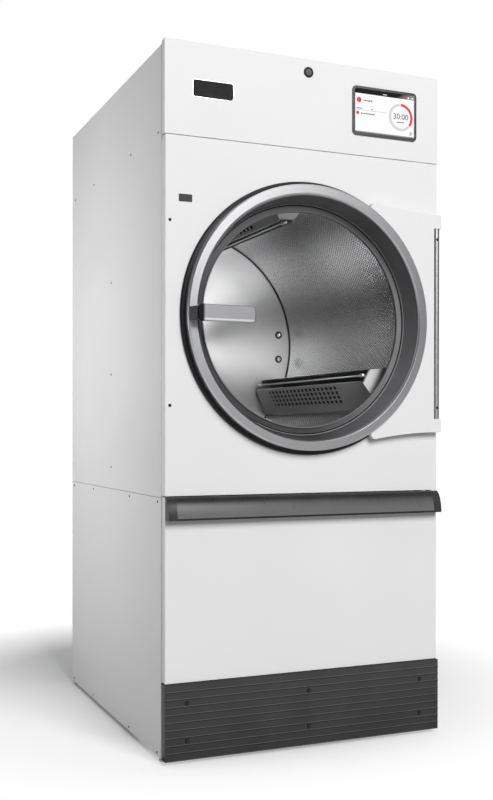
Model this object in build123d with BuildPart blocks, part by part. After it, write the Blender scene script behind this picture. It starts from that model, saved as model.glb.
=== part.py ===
"""Commercial tumble dryer, single pocket, gas heated.

Frame: x across the front, y into the depth (front is -y), z up from the floor.
The origin is on the floor, in the middle of the machine's footprint. All sizes are millimetres.
"""
from build123d import *
from math import cos, radians, sin
import os

# ---------------------------------------------------------------- cabinet sizes
CABINET_W = 860.0
CABINET_D = 1028.0        # front sheet to rear sheet
GUARD_D = 200.0           # belt guard behind the rear sheet
FOOT_GAP = 12.0           # floor to underside of the base
KICK_H = 207.0
LINT_DOOR_H = 506.0
FRONT_PANEL_H = 977.0
CONTROL_H = 257.0
SIDE_DROP = 9.0           # the sides stop this far below the control panel's top
SHEET = 1.5
PAN_RETURN = 28.0         # depth of the folded edges of the front sheets
CONTROL_RETURN = 25.0
PANEL_INSET = 2.5         # front panel and lint door are narrower on each side
PANEL_GAP = 2.0           # joint between two front sheets
SEAM_GAP = 1.0            # joint between upper and lower side sheets
SEAM_DROP = 4.0
FLANGE = 20.0             # inward folds of the side sheets
FIT = 0.3                 # free play between neighbours
RUN_FIT = 0.05            # radial play of a turning fit
CUT = 1.0                 # a cut runs this far past a face

# ---------------------------------------------------------------- door sizes
DOOR_RISE = 497.0         # door centre above the front panel's lower edge
DOOR_MARGIN = 43.0        # base ring's rim in from the cabinet's side
BASE_RING_D = 8.5
BASE_LIP = 3.0            # base ring reaches this far inside the ring
BASE_EDGE = 3.0
RING_STEP = 12.0          # ring's rim in from the base ring's
RING_W = 28.0
RING_PROUD = 36.0
RING_EDGE = 4.0
RING_INNER_EDGE = 3.0
RING_LIP_D = 16.0
RING_WALL = 2.5
OPENING_STEP = 5.0        # cabinet's opening out from the ring's inner rim
COLLAR_GAP = 2.0          # opening's collar to the drum
DISH_TAPER = 11.0         # dish narrows by this to its back
DISH_COLLAR = 5.0
DISH_BACK = 33.0          # depth of the dish behind the front sheet
DISH_WALL = 3.0
GLASS_LEDGE = 28.0        # clear glass in from the dish's back edge
GLASS_HOLD = 14.0         # glass held in the gasket
GLASS_T = 6.0
GASKET_LIP = 4.0
GASKET_T = 2.0
GASKET_COVER = 8.0
GROOVE_GAP = 1.5
DOOR_PLAY = 0.5
HINGE_INSET = 14.0        # hinge axis in from the cabinet's side
HINGE_PROUD = 16.0        # hinge axis in front of the front sheet
POST_R = 9.5
POST_H = 565.0
HINGE_PIN_R = 5.0
HINGE_PIN_L = 22.0
WING_H = 645.0
WING_SHEET = 2.0
WING_PROUD = 25.0
WING_D = 15.0
WING_FLARE = 22.0         # wing's tips out from the ring's rim
WING_TIP_ANGLE = 60.0
WING_TIP_ROUND = 12.0
KNUCKLE_W = 24.0
KNUCKLE_D = 19.0
GRIP_PROUD = 80.0
GRIP_L = 169.0
GRIP_H = 45.0
GRIP_T = 13.0
GRIP_RISE = -4.0          # grip's middle relative to the door's centre
GRIP_INSET = 11.0         # grip's outer end in from the ring's rim
GRIP_EDGE = 3.0
GRIP_ROUND = 13.0
NECK_W = 22.0
NECK_H = 36.0
NECK_TOP_W = 30.0
NECK_TOP_H = 37.0
NECK_TOP_IN = 20.0        # neck's middle under the grip, in from the grip's end

# ---------------------------------------------------------------- lint door and control panel
HINGE_BACK = 4.0          # panel hinge axis behind the sheet's face
HINGE_UP = 8.0            # and above its lower edge
WIRE_R = 1.5              # panel hinge pin
PANEL_KNUCKLE_W = 30.0
PANEL_KNUCKLE_R = 3.0
PANEL_HINGE_IN = 130.0    # hinge's middle in from the cabinet's side
KNUCKLE_PLAY = 0.5
NOTCH_PLAY = 2.0
EAR_T = 3.0
EAR_R = 2.2
EAR_D = 11.0              # from the hinge axis back to the bracket
EAR_UP = 4.0
EAR_DOWN = 2.0
BRACKET_T = 3.0
LIP_H = 63.0              # lint door handle
LIP_PROUD = 30.0
LIP_WALL = 3.0
LIP_CAP = 25.0
LIP_FOOT_Z = 18.9         # middle of the handle's inner flange above its lower edge
LIP_FOOT_H = 31.5
LOCK_DROP = 36.6          # lock centre below the control panel's top
LOCK_R = 15.0
LOCK_PLUG_R = 9.0
LOCK_HEAD = 3.0
LOCK_EDGE = 1.5
LOCK_SUNK = 0.5
LOCK_END = 2.0            # housing ends this far in front of the top panel's fold
LOCK_NUT_W = 4.0
LOCK_NUT_T = 5.0
LOCK_TAIL_R = 7.0
LOCK_BARREL_R = 11.5
KEY_W = 1.8
KEY_H = 9.0
KEY_D = 2.5
CAM_L = 24.0
CAM_W = 15.0
CAM_T = 2.0
CAM_GAP = 1.0
CAM_ROOM = 8.0            # fold's edge above the cam at rest
BEZEL_W = 214.0
BEZEL_H = 142.0
BEZEL_ROUND = 12.0
BEZEL_T = 5.0
BEZEL_EDGE = 1.0
BEZEL_IN = 182.0          # screen centre in from the cabinet's side
BEZEL_RISE = 129.0        # screen centre above the control panel's lower edge
SCREEN_W = 200.0
SCREEN_H = 126.0
SCREEN_T = 3.0
SCREEN_SUNK = 0.5
SCREEN_ROUND = 5.0
MODULE_W = 190.0
MODULE_H = 116.0
MODULE_D = 20.0
PLUG_W = 38.0
PLUG_H = 20.0
PLUG_IN = 59.5            # plug in from the cabinet's side
PLUG_RISE = 809.0

# ---------------------------------------------------------------- kick plate and screws
KICK_PROUD = 7.5
KICK_RIDGES = 10
RIDGE_H = 4.0
RIDGE_T = 1.0
KICK_SCREW_R = 6.5
KICK_HEAD_T = 3.5
KICK_SCREW_IN = 63.0
KICK_SCREW_RISE = 101.0
SCREW_R = 4.5
SCREW_HEAD_T = 2.5
SCREW_INSET = 15.5
SCREW_SPREAD = 250.0      # screws above and below the door's centre
POST_SCREW_R = 4.0
SHANK_R = 2.0
SHANK_L = 9.0
HEAD_TAPER_ANGLE = 20.0
PLUG_T = 1.5
PLUG_DEEP = 8.0
PLUG_LIP = 2.0

# ---------------------------------------------------------------- drum sizes
DRUM_MARGIN = 25.5        # inside of the shell in from the cabinet's side
DRUM_CLEAR = 48.0         # back plate in front of the rear sheet
DRUM_START = 60.0         # drum front behind the front sheet
DRUM_SHEET = 1.5
DRUM_RIM = 18.0           # shell carried on behind the back plate
RIM_END = 2.0             # back plate's fold stops this far inside the shell's end
BACK_T = 2.0
SEAL_T = 10.0
SEAL_D = 14.0
SEAL_IN = 4.0             # seal reaches this far into the drum
RIB_COUNT = 3
RIB_ANGLE = 90.6
RIB_H = 107.0
RIB_TOP_W = 36.0
RIB_BASE_W = 150.0
RIB_FRONT = 40.0          # from the drum's front to the rib
RIB_FRONT_RUN = 45.0
RIB_BACK_RUN = 25.0
RIB_SHEET = 1.5
RIB_ROUND = 15.0          # rounding along the crest
RIB_NOSE = 24.0           # rounding at the crest's two ends
RIB_FOOT = 22.0           # upright foot of a rib's side
RIB_END = 4.0             # rib to back plate
ARM_COUNT = 3
ARM_W = 110.0
ARM_T = 14.0
ARM_PAST = 21.9           # arm's end out from the bolts
HUB_R = 62.0
HUB_T = 26.0
BOLT_INSET = 46.4         # line of a pair of bolts in from the shell
BOLT_PAIR = 91.8
BOLT_R = 5.0
BOLT_HEAD_R = 9.0
BOLT_HEAD_T = 6.0
BOLT_TAPER_ANGLE = 25.0
BOLT_END = 4.0
SHAFT_R = 25.0
SHAFT_END = 14.0          # shaft stops this far inside the guard's rear

# ---------------------------------------------------------------- drive sizes
DRUM_PULLEY_R = 290.0
DRUM_HUB_R = 50.0
DRUM_WINDOWS = 6
PULLEY_W = 28.0
PULLEY_RIM = 9.0
PULLEY_WEB = 4.0
WINDOW_SHARE = 0.56       # window's width as a share of the web's
FIRST_BELT_Y = 120.0      # middle of the drum belt behind the rear sheet
SECOND_BELT_Y = 160.0
BELT_W = 22.0
BELT_T = 5.0
BELT_PLAY = 0.4
GUARD_ROOM = 33.0         # between a pulley and the guard
GUARD_SHOULDER = 40.0     # guard keeps its full width down to this far above the jackshaft
GUARD_FOOT = 180.0        # width of the guard's lower edge
GUARD_SLOT_L = 150.0
GUARD_SLOT_W = 9.0
GUARD_SLOT_PITCH = 180.0
GUARD_SLOT_ROW = 60.0
GUARD_SLOT_ROWS = 5
GUARD_SLOT_RISE = 40.0    # middle of the slots above the drum's axis
JACK_X = 60.0
JACK_DROP = 422.0         # jackshaft below the drum's axis
JACK_SHAFT_R = 12.5
JACK_SMALL_R = 36.0
JACK_LARGE_R = 150.0
JACK_HUB_R = 30.0
JACK_WINDOWS = 5
JACK_START = 2.0          # shaft's front end behind the rear sheet
MOTOR_X = -150.0
MOTOR_Z = 520.0
MOTOR_R = 85.0
MOTOR_L = 190.0
MOTOR_GAP = 20.0          # blower to motor
MOTOR_BOSS_R = 60.0
MOTOR_BELL = 18.0         # end shields, along the shaft
MOTOR_BELL_STEP = 7.0
MOTOR_BELL_EDGE = 6.0
MOTOR_FOOT_W = 130.0
MOTOR_FOOT_IN = 25.0
MOTOR_FOOT_UP = 34.0      # foot's top above the motor's underside
MOTOR_FOOT_DROP = 10.0
MOTOR_BOX_W = 80.0
MOTOR_BOX_IN = 50.0
MOTOR_BOX_FOOT = 60.0
MOTOR_BOX_RISE = 30.0
SHELF_W = 180.0
SHELF_START = 10.0
SHELF_DROP = 130.0
BRACE_T = 4.0
BRACE_X = 80.0
BRACE_START = 40.0
BRACE_DROP = 120.0
MOTOR_SHAFT_R = 14.0
MOTOR_PULLEY_R = 32.0
TRUNNION_R = 52.0
TRUNNION_PLATE = 210.0
TRUNNION_L = 96.0
SEAT_W = 8.0              # rear sheet's hole is smaller than the trunnion by this
WEB_SEAT = 4.0
WEB_SHORT = 15.0
WEB_REACH = 126.0
PLATE_ROUND = 12.0
BEARING_R = 40.0
BEARING_W = 20.0
BEARING_IN = 4.0
JACK_HOUSING_R = 30.0
JACK_PLATE = 110.0
JACK_PLATE_ROUND = 8.0
JACK_HOUSING_L = 88.0
PLATE_T = 6.0

# ---------------------------------------------------------------- air path sizes
FAN_R = 140.0
FAN_INNER_R = 112.0
FAN_W = 100.0
FAN_BLADES = 20
FAN_IN = 18.0             # fan behind the chamber's rear wall
FAN_RING_W = 20.0
FAN_SHEET = 2.0
FAN_HUB_R = 26.0
FAN_HUB_L = 30.0
BLADE_ANGLE = 32.0
FAN_SHAFT_IN = 20.0       # shaft's front end behind the fan's front
SCROLL_START_R = 152.0
SCROLL_END_R = 196.0
SCROLL_W = 140.0
SCROLL_FIRST_ANGLE = -30.0      # angles of the spiral
SCROLL_SWEEP_ANGLE = 300.0
SCROLL_STEPS = 10
INLET_R = 120.0
SHAFT_ROOM = 8.0
OUTLET_X = 90.0
DUCT_IN = 180.0           # duct's middle in from the cabinet's side
DUCT_Z = 400.0
DUCT_W = 215.0
COLLAR_R = 101.6
COLLAR_OUT = 62.0
COLLAR_PLAY = 3.0         # round hole in the rear sheet over the collar, so a hose slides over it
CHAMBER_BACK = 414.0      # chamber's rear wall in front of the rear sheet
CHAMBER_FLOOR = 6.0       # above the kick plate's top
CHAMBER_TOP_DROP = 25.0
LEDGE = 15.0
LEDGE_T = 2.0
LEDGE_DROP = 40.0
SCREEN_FRAME_W = 26.0
SCREEN_FRAME_T = 12.0
SCREEN_MESH_T = 1.0
SCREEN_GAP = 4.0
SCREEN_PLAY = 1.0
SCREEN_EDGE = 4.0         # mesh is let into the frame up to here
HEATER_W = 500.0
HEATER_H = 230.0
HEATER_D = 330.0
HEATER_DROP = 70.0        # heater's top below the cabinet's
HEATER_SLOPE = 110.0
BURNER_R = 22.0
BURNER_COUNT = 3
BURNER_PITCH = 140.0
BURNER_L = 250.0
MANIFOLD_D = 40.0
MANIFOLD_H = 28.0
MANIFOLD_END = 50.0
FEED_IN = 28.0            # feed pipe in front of the rear sheet
FEED_STEP = 1.0
GAS_IN = 100.0            # gas pipe in from the cabinet's side
GAS_RISE = 52.0           # burners above the heater's lower edge
GAS_R = 10.65
GAS_OUT = 46.0
GAS_WALL = 2.6
PIPE_PLAY = 1.0
VALVE_W = 60.0
VALVE_D = 84.0
VALVE_H = 70.0
VALVE_BACK = 12.0
VALVE_EDGE = 6.0
SOLENOID_R = 19.0
SOLENOID_H = 26.0

# ---------------------------------------------------------------- base, boxes
BASE_H = 60.0
BASE_FLANGE = 45.0
BASE_T = 3.0
FOOT_R = 20.0
FOOT_RIM = 4.0
FOOT_SLOPE = 7.0
FOOT_STUD_R = 8.0
FOOT_NUT_R = 15.0
FOOT_NUT_H = 14.0
FOOT_TRAVEL = 25.0
STUD_END = 6.0            # stud left above the nut at full travel
STIFFENER_X = 230.0       # pressed channels on the rear sheet
STIFFENER_W = 60.0
STIFFENER_H = 840.0
STIFFENER_D = 14.0
TOP_SLOT_L = 44.0
TOP_SLOT_W = 8.0
TOP_SLOT_PITCH = 60.0
TOP_SLOT_ROW = 26.0
TOP_SLOT_COUNT = 9
TOP_SLOT_ROWS = 4
TOP_SLOT_IN = 110.0       # middle of the slots in front of the rear sheet
AIR_SLOT_L = 44.0
AIR_SLOT_W = 9.0
AIR_SLOT_PITCH = 56.0
AIR_SLOT_ROW = 22.0
AIR_SLOT_COUNT = 7
AIR_SLOT_ROWS = 6
CONTROL_BOX_W = 120.0
CONTROL_BOX_D = 240.0
CONTROL_BOX_H = 180.0
CONTROL_BOX_IN = 45.0     # box behind the panel's folds
CONTROL_BOX_RISE = 35.0
BOX_EDGE = 4.0
JUNCTION_IN = 60.0        # junction box in from the cabinet's side
JUNCTION_DROP = 200.0     # junction box below the cabinet's top
JUNCTION_W = 100.0
JUNCTION_D = 60.0
SUPPLY_ENTRY_R = 11.0
ENTRY_WALL = 5.0
ENTRY_L = 12.0
ENTRY_D = 32.0

# ---------------------------------------------------------------- levels worked out from the sizes
half_w = CABINET_W / 2
inner_w = half_w - SHEET
front_y = GRIP_PROUD - (GRIP_PROUD + CABINET_D + GUARD_D) / 2
pan_y = front_y + PAN_RETURN
back_y = front_y + CABINET_D
rear_y = back_y + GUARD_D
kick_top = FOOT_GAP + KICK_H
lint_top = kick_top + LINT_DOOR_H
front_top = lint_top + FRONT_PANEL_H
control_low = front_top + PANEL_GAP
control_top = front_top + CONTROL_H
side_top = control_top - SIDE_DROP
seam_z = lint_top - SEAM_DROP
door_z = lint_top + DOOR_RISE
hinge_x = half_w - HINGE_INSET
hinge_y = front_y - HINGE_PROUD
ring_y = front_y - RING_PROUD
drum_y = front_y + DRUM_START
drum_back_y = back_y - DRUM_CLEAR
chamber_back_y = back_y - CHAMBER_BACK
jack_z = door_z - JACK_DROP
sheet_back = back_y - SHEET          # inside face of the rear sheets
lock_z = control_top - LOCK_DROP
grip_y = front_y - GRIP_PROUD
base_ring_r = half_w - DOOR_MARGIN
ring_r = base_ring_r - RING_STEP
ring_inner_r = ring_r - RING_W
opening_r = ring_inner_r + OPENING_STEP
dish_back_r = ring_inner_r - DISH_TAPER
glass_view_r = dish_back_r - GLASS_LEDGE
glass_r = glass_view_r + GLASS_HOLD
drum_r = half_w - DRUM_MARGIN
bolt_line = drum_r - BOLT_INSET
arm_r = bolt_line + ARM_PAST
panel_hinge_x = half_w - PANEL_HINGE_IN
bezel_x = half_w - BEZEL_IN
plug_x = PLUG_IN - half_w
duct_x = half_w - DUCT_IN
gas_x = GAS_IN - half_w
junction_x = half_w - JUNCTION_IN
heater_top = side_top - HEATER_DROP
heater_z = heater_top - HEATER_H
gas_z = heater_z + GAS_RISE
junction_z = side_top - JUNCTION_DROP


def front_plane(y):
    """Upright plane at depth y: x across, z up, and a positive extrusion comes toward the front."""
    return Plane.XZ.offset(-y)


def radial_plane(x, z):
    """Plane whose first axis is the radius from a line along y through (x, z)."""
    return Plane(origin=(x, 0, z), x_dir=(0, 0, 1), z_dir=(-1, 0, 0))


def depth_axis(x, z):
    return Axis((x, 0, z), (0, 1, 0))


def section(points, x, z):
    """Closed (radius, y) outline to be revolved about the line along y through (x, z)."""
    with BuildSketch(radial_plane(x, z)) as outline:
        with BuildLine():
            Polyline(*points, close=True)
        make_face()
    return outline.sketch


def tube_section(inner, outer, y0, y1, x, z):
    return section([(inner, y0), (outer, y0), (outer, y1), (inner, y1)], x, z)


def block(x0, x1, y0, y1, z0, z1, mode=Mode.ADD):
    """Rectangular bar or plate between two corners."""
    with Locations(((x0 + x1) / 2, (y0 + y1) / 2, (z0 + z1) / 2)):
        Box(x1 - x0, y1 - y0, z1 - z0, mode=mode)


def finish(piece, name):
    """Name a finished piece and write it."""
    piece.part.label = name
    export_step(piece.part, f"parts/{name}.step")


os.makedirs("parts", exist_ok=True)

# ================================================================ base and feet
foot_x = inner_w - BASE_FLANGE / 2
foot_front = pan_y + SHEET + BASE_FLANGE / 2
foot_rear = sheet_back - SHEET - BASE_FLANGE / 2
FEET = {
    "foot_front_left": (-foot_x, foot_front),
    "foot_front_right": (foot_x, foot_front),
    "foot_rear_left": (-foot_x, foot_rear),
    "foot_rear_right": (foot_x, foot_rear),
}
base_len = foot_rear - foot_front + BASE_FLANGE
base_mid = (foot_rear + foot_front) / 2

with BuildPart() as base_frame:
    with BuildSketch(Plane.XY.offset(FOOT_GAP)):
        with Locations((0, base_mid)):
            Rectangle(2 * inner_w, base_len)
            Rectangle(2 * (inner_w - BASE_FLANGE), base_len - 2 * BASE_FLANGE, mode=Mode.SUBTRACT)
    extrude(amount=BASE_H)
    with BuildSketch(Plane.XY.offset(FOOT_GAP + BASE_T)):
        with Locations((0, base_mid)):
            Rectangle(2 * (inner_w - BASE_T), base_len - 2 * BASE_T)
    extrude(amount=BASE_H - 2 * BASE_T, mode=Mode.SUBTRACT)
    with Locations(*[(x, y, FOOT_GAP + BASE_T) for x, y in FEET.values()]):
        Cylinder(FOOT_NUT_R, FOOT_NUT_H, align=(Align.CENTER, Align.CENTER, Align.MIN))
    with Locations(*[(x, y, FOOT_GAP) for x, y in FEET.values()]):
        Cylinder(FOOT_STUD_R + RUN_FIT, BASE_T + FOOT_NUT_H,
                 align=(Align.CENTER, Align.CENTER, Align.MIN), mode=Mode.SUBTRACT)
finish(base_frame, "base_frame")

foot_top = FOOT_GAP - FIT
stud_top = FOOT_GAP + BASE_T + FOOT_NUT_H + FOOT_TRAVEL + STUD_END
for foot_name, (x, y) in FEET.items():
    with BuildPart() as foot:
        with BuildSketch(front_plane(y)):
            with BuildLine():
                Polyline((x, 0), (x + FOOT_R, 0), (x + FOOT_R, FOOT_RIM), (x + FOOT_R - FOOT_SLOPE, foot_top),
                         (x + FOOT_STUD_R, foot_top), (x + FOOT_STUD_R, stud_top), (x, stud_top), close=True)
            make_face()
        revolve(axis=Axis((x, y, 0), (0, 0, 1)))
    finish(foot, foot_name)

# ================================================================ side, top and rear sheets
def side_sheet(side, z0, z1, has_top):
    """Flat sheet on one side with folds along its front and rear, and its top if it carries one."""
    with BuildPart() as sheet:
        with BuildSketch(Plane.XY.offset(z0)):
            with BuildLine():
                Polyline((inner_w - FLANGE, pan_y), (half_w, pan_y), (half_w, back_y), (inner_w, back_y),
                         (inner_w, sheet_back), (inner_w - FLANGE, sheet_back),
                         (inner_w - FLANGE, sheet_back - SHEET), (inner_w, sheet_back - SHEET),
                         (inner_w, pan_y + SHEET), (inner_w - FLANGE, pan_y + SHEET), close=True)
            make_face()
        extrude(amount=z1 - z0)
        if has_top:
            block(inner_w - FLANGE, inner_w, pan_y, sheet_back, z1 - SHEET, z1, mode=Mode.SUBTRACT)
            block(inner_w - FLANGE, inner_w, pan_y + SHEET, sheet_back - SHEET, z1 - 2 * SHEET, z1 - SHEET)
        if side < 0:
            mirror(about=Plane.YZ, mode=Mode.REPLACE)
    return sheet


for side, word in ((-1, "left"), (1, "right")):
    finish(side_sheet(side, FOOT_GAP, seam_z, False), f"side_panel_{word}_lower")
    finish(side_sheet(side, seam_z + SEAM_GAP, side_top, True), f"side_panel_{word}_upper")

keeper_low = lock_z + CAM_W / 2 + CAM_ROOM
with BuildPart() as top_panel:
    block(-inner_w, inner_w, pan_y, sheet_back, side_top - SHEET, side_top)
    block(-inner_w + FLANGE + FIT, inner_w - FLANGE - FIT, pan_y, pan_y + SHEET, keeper_low, side_top - SHEET)
    with BuildSketch(Plane.XY.offset(side_top)):
        with Locations((0, sheet_back - TOP_SLOT_IN)):
            with GridLocations(TOP_SLOT_PITCH, TOP_SLOT_ROW, TOP_SLOT_COUNT, TOP_SLOT_ROWS):
                Rectangle(TOP_SLOT_L, TOP_SLOT_W)
    extrude(amount=-SHEET, mode=Mode.SUBTRACT)
finish(top_panel, "top_panel")

upper_rear_low = seam_z + SEAM_GAP
with BuildPart() as rear_bulkhead:
    block(-inner_w, inner_w, sheet_back, back_y, upper_rear_low, side_top)
    for inset, mode in ((0, Mode.ADD), (SHEET, Mode.SUBTRACT)):
        with BuildSketch(front_plane(sheet_back)):
            with Locations((-STIFFENER_X, door_z), (STIFFENER_X, door_z)):
                Rectangle(STIFFENER_W - 2 * inset, STIFFENER_H - 2 * inset)
        extrude(amount=STIFFENER_D - inset, mode=mode)
    with BuildSketch(front_plane(sheet_back)):
        with Locations((0, door_z)):
            Circle(TRUNNION_R - SEAT_W)
        with Locations((gas_x, gas_z)):
            Circle(GAS_R + PIPE_PLAY)
        with Locations((0, heater_z + HEATER_H / 2)):
            with GridLocations(AIR_SLOT_PITCH, AIR_SLOT_ROW, AIR_SLOT_COUNT, AIR_SLOT_ROWS):
                Rectangle(AIR_SLOT_L, AIR_SLOT_W)
    extrude(amount=-SHEET, mode=Mode.SUBTRACT)
finish(rear_bulkhead, "rear_bulkhead")

with BuildPart() as rear_panel_lower:
    block(-inner_w, inner_w, sheet_back, back_y, FOOT_GAP, seam_z)
    with BuildSketch(front_plane(sheet_back)):
        with Locations((MOTOR_X, MOTOR_Z)):
            Circle(MOTOR_SHAFT_R + SHAFT_ROOM)
        with Locations((duct_x, DUCT_Z)):
            Circle(COLLAR_R + COLLAR_PLAY)
    extrude(amount=-SHEET, mode=Mode.SUBTRACT)
finish(rear_panel_lower, "rear_panel_lower")

# ================================================================ kick plate
kick_front = front_y - KICK_PROUD
kick_screw_pitch = half_w - KICK_SCREW_IN
with BuildPart() as kick_plate:
    with BuildSketch(Plane.YZ.offset(-half_w)):
        with BuildLine():
            Polyline((kick_front, FOOT_GAP), (kick_front, kick_top), (pan_y, kick_top),
                     (pan_y, kick_top - SHEET), (kick_front + 2 * SHEET, kick_top - SHEET),
                     (kick_front + 2 * SHEET, FOOT_GAP + SHEET), (pan_y, FOOT_GAP + SHEET), (pan_y, FOOT_GAP),
                     close=True)
        make_face()
        ridge_pitch = KICK_H / KICK_RIDGES
        for n in range(KICK_RIDGES - 1):
            with Locations((kick_front, FOOT_GAP + (n + 1) * ridge_pitch)):
                Rectangle(2 * RIDGE_T, RIDGE_H)
    extrude(amount=CABINET_W)
    with BuildSketch(front_plane(kick_front)):
        with Locations((0, FOOT_GAP + KICK_H / 2)):
            with GridLocations(kick_screw_pitch, KICK_SCREW_RISE, 3, 2):
                Circle(KICK_SCREW_R / 2)
    extrude(amount=-2 * SHEET, mode=Mode.SUBTRACT)
finish(kick_plate, "kick_plate")

# ================================================================ front panel
panel_half = half_w - PANEL_INSET
front_low = lint_top + PANEL_GAP
screw_x = half_w - SCREW_INSET
screw_places = [(-screw_x, door_z - SCREW_SPREAD), (-screw_x, door_z + SCREW_SPREAD)]
post_places = [(hinge_x, door_z - SCREW_SPREAD), (hinge_x, door_z + SCREW_SPREAD)]
plug_z = lint_top + PLUG_RISE
plug_hole_w, plug_hole_h = PLUG_W - 2 * PLUG_LIP, PLUG_H - 2 * PLUG_LIP
collar_end = drum_y - COLLAR_GAP

with BuildPart() as front_panel:
    with BuildSketch(front_plane(pan_y)):
        with Locations((0, (front_low + front_top) / 2)):
            Rectangle(2 * panel_half, front_top - front_low)
    extrude(amount=PAN_RETURN)
    offset(amount=-SHEET, openings=front_panel.faces().sort_by(Axis.Y)[-1])
    revolve(tube_section(opening_r, opening_r + SHEET, front_y, collar_end, 0, door_z),
            axis=depth_axis(0, door_z))
    with BuildSketch(front_plane(front_y)):
        with Locations((0, door_z)):
            Circle(opening_r)
        with Locations(*screw_places, *post_places):
            Circle(SHANK_R + FIT)
        with Locations((plug_x, plug_z)):
            Rectangle(plug_hole_w, plug_hole_h)
    extrude(amount=-2 * SHEET, mode=Mode.SUBTRACT)
finish(front_panel, "front_panel")

with BuildPart() as panel_plug:
    with BuildSketch(front_plane(front_y)):
        with Locations((plug_x, plug_z)):
            RectangleRounded(PLUG_W, PLUG_H, PLUG_LIP)
    extrude(amount=PLUG_T)
    with BuildSketch(front_plane(front_y)):
        with Locations((plug_x, plug_z)):
            Rectangle(plug_hole_w - FIT, plug_hole_h - FIT)
    extrude(amount=-PLUG_DEEP)
finish(panel_plug, "panel_plug")

post_low = door_z - POST_H / 2
post_face = hinge_y - POST_R
with BuildPart() as door_hinge_post:
    with BuildSketch(Plane.XY.offset(post_low)):
        with Locations((hinge_x, hinge_y)):
            Circle(POST_R)
        with Locations((hinge_x, (hinge_y + front_y) / 2)):
            Rectangle(2 * POST_R, HINGE_PROUD)
    extrude(amount=POST_H)
    with Locations((hinge_x, hinge_y, door_z)):
        Cylinder(HINGE_PIN_R, POST_H + 2 * HINGE_PIN_L)
    with BuildSketch(front_plane(front_y)):
        with Locations(*post_places):
            Circle(SHANK_R + FIT)
    extrude(amount=HINGE_PROUD + POST_R, mode=Mode.SUBTRACT)
    with BuildSketch(front_plane(post_face)):
        with Locations(*post_places):
            Circle(POST_SCREW_R + FIT)
    extrude(amount=-SCREW_HEAD_T, mode=Mode.SUBTRACT)
finish(door_hinge_post, "door_hinge_post")

kick_places = [(n * kick_screw_pitch, FOOT_GAP + KICK_H / 2 + side * KICK_SCREW_RISE / 2)
               for n in (-1, 0, 1) for side in (-1, 1)]
SCREWS = (
    # places, head radius, head thickness, shank radius, seat
    (screw_places, SCREW_R, SCREW_HEAD_T, SHANK_R, front_y),
    (post_places, POST_SCREW_R, SCREW_HEAD_T - FIT, SHANK_R, post_face + SCREW_HEAD_T),
    (kick_places, KICK_SCREW_R, KICK_HEAD_T, KICK_SCREW_R / 2 - FIT, kick_front),
)
with BuildPart() as panel_screws:
    for places, head_r, head_t, shank_r, seat_y in SCREWS:
        with BuildSketch(front_plane(seat_y)):
            with Locations(*places):
                Circle(head_r)
        extrude(amount=head_t, taper=HEAD_TAPER_ANGLE)
        with BuildSketch(front_plane(seat_y)):
            with Locations(*places):
                Circle(shank_r)
        extrude(amount=min(seat_y - front_y, 0) - SHANK_L)
finish(panel_screws, "panel_screws")

# ================================================================ bottom hinges of the two panels
lint_low = kick_top + PANEL_GAP
knuckle_half = PANEL_KNUCKLE_W / 2
ear_outer = knuckle_half + KNUCKLE_PLAY + EAR_T
panel_axis_y = front_y + HINGE_BACK
bracket_y = panel_axis_y + EAR_D

with BuildPart() as hinge_brackets:
    for stand_z, low_z in ((kick_top, lint_low), (front_top, control_low)):
        axis_z = low_z + HINGE_UP
        for x in (-panel_hinge_x, panel_hinge_x):
            block(x - ear_outer, x + ear_outer, bracket_y, bracket_y + BRACKET_T, stand_z, axis_z + EAR_UP)
            for side in (-1, 1):
                ear_mid = x + side * (ear_outer - EAR_T / 2)
                block(ear_mid - EAR_T / 2, ear_mid + EAR_T / 2, panel_axis_y, bracket_y,
                      axis_z - EAR_DOWN, axis_z + EAR_UP)
                with Locations((ear_mid, panel_axis_y, axis_z)):
                    Cylinder(EAR_R, EAR_T, rotation=(0, 90, 0))
            with Locations((x, panel_axis_y, axis_z)):
                Cylinder(WIRE_R, 2 * ear_outer, rotation=(0, 90, 0))
finish(hinge_brackets, "hinge_brackets")


def hinged_pan(half, z0, z1):
    """Front sheet with folded edges, and the knuckles of its two bottom hinges."""
    with BuildPart() as pan:
        with BuildSketch(front_plane(front_y + CONTROL_RETURN)):
            with Locations((0, (z0 + z1) / 2)):
                Rectangle(2 * half, z1 - z0)
        extrude(amount=CONTROL_RETURN)
        offset(amount=-SHEET, openings=pan.faces().sort_by(Axis.Y)[-1])
        for x in (-panel_hinge_x, panel_hinge_x):
            notch = ear_outer + NOTCH_PLAY
            block(x - notch, x + notch, front_y + SHEET, front_y + CONTROL_RETURN, z0, z0 + SHEET,
                  mode=Mode.SUBTRACT)
            block(x - knuckle_half, x + knuckle_half, front_y + SHEET, panel_axis_y + PANEL_KNUCKLE_R,
                  z0 + HINGE_UP - PANEL_KNUCKLE_R, z0 + HINGE_UP + PANEL_KNUCKLE_R)
            with Locations((x, panel_axis_y, z0 + HINGE_UP)):
                Cylinder(WIRE_R + RUN_FIT, PANEL_KNUCKLE_W, rotation=(0, 90, 0), mode=Mode.SUBTRACT)
    return pan.part


# ================================================================ control panel
bezel_z = control_low + BEZEL_RISE
with BuildPart() as control_panel:
    add(hinged_pan(half_w, control_low, control_top))
    with BuildSketch(front_plane(front_y)):
        with Locations((bezel_x, bezel_z)):
            Rectangle(MODULE_W + 2 * FIT, MODULE_H + 2 * FIT)
        with Locations((0, lock_z)):
            Circle(LOCK_BARREL_R + FIT)
    extrude(amount=-2 * SHEET, mode=Mode.SUBTRACT)
finish(control_panel, "control_panel")

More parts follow.
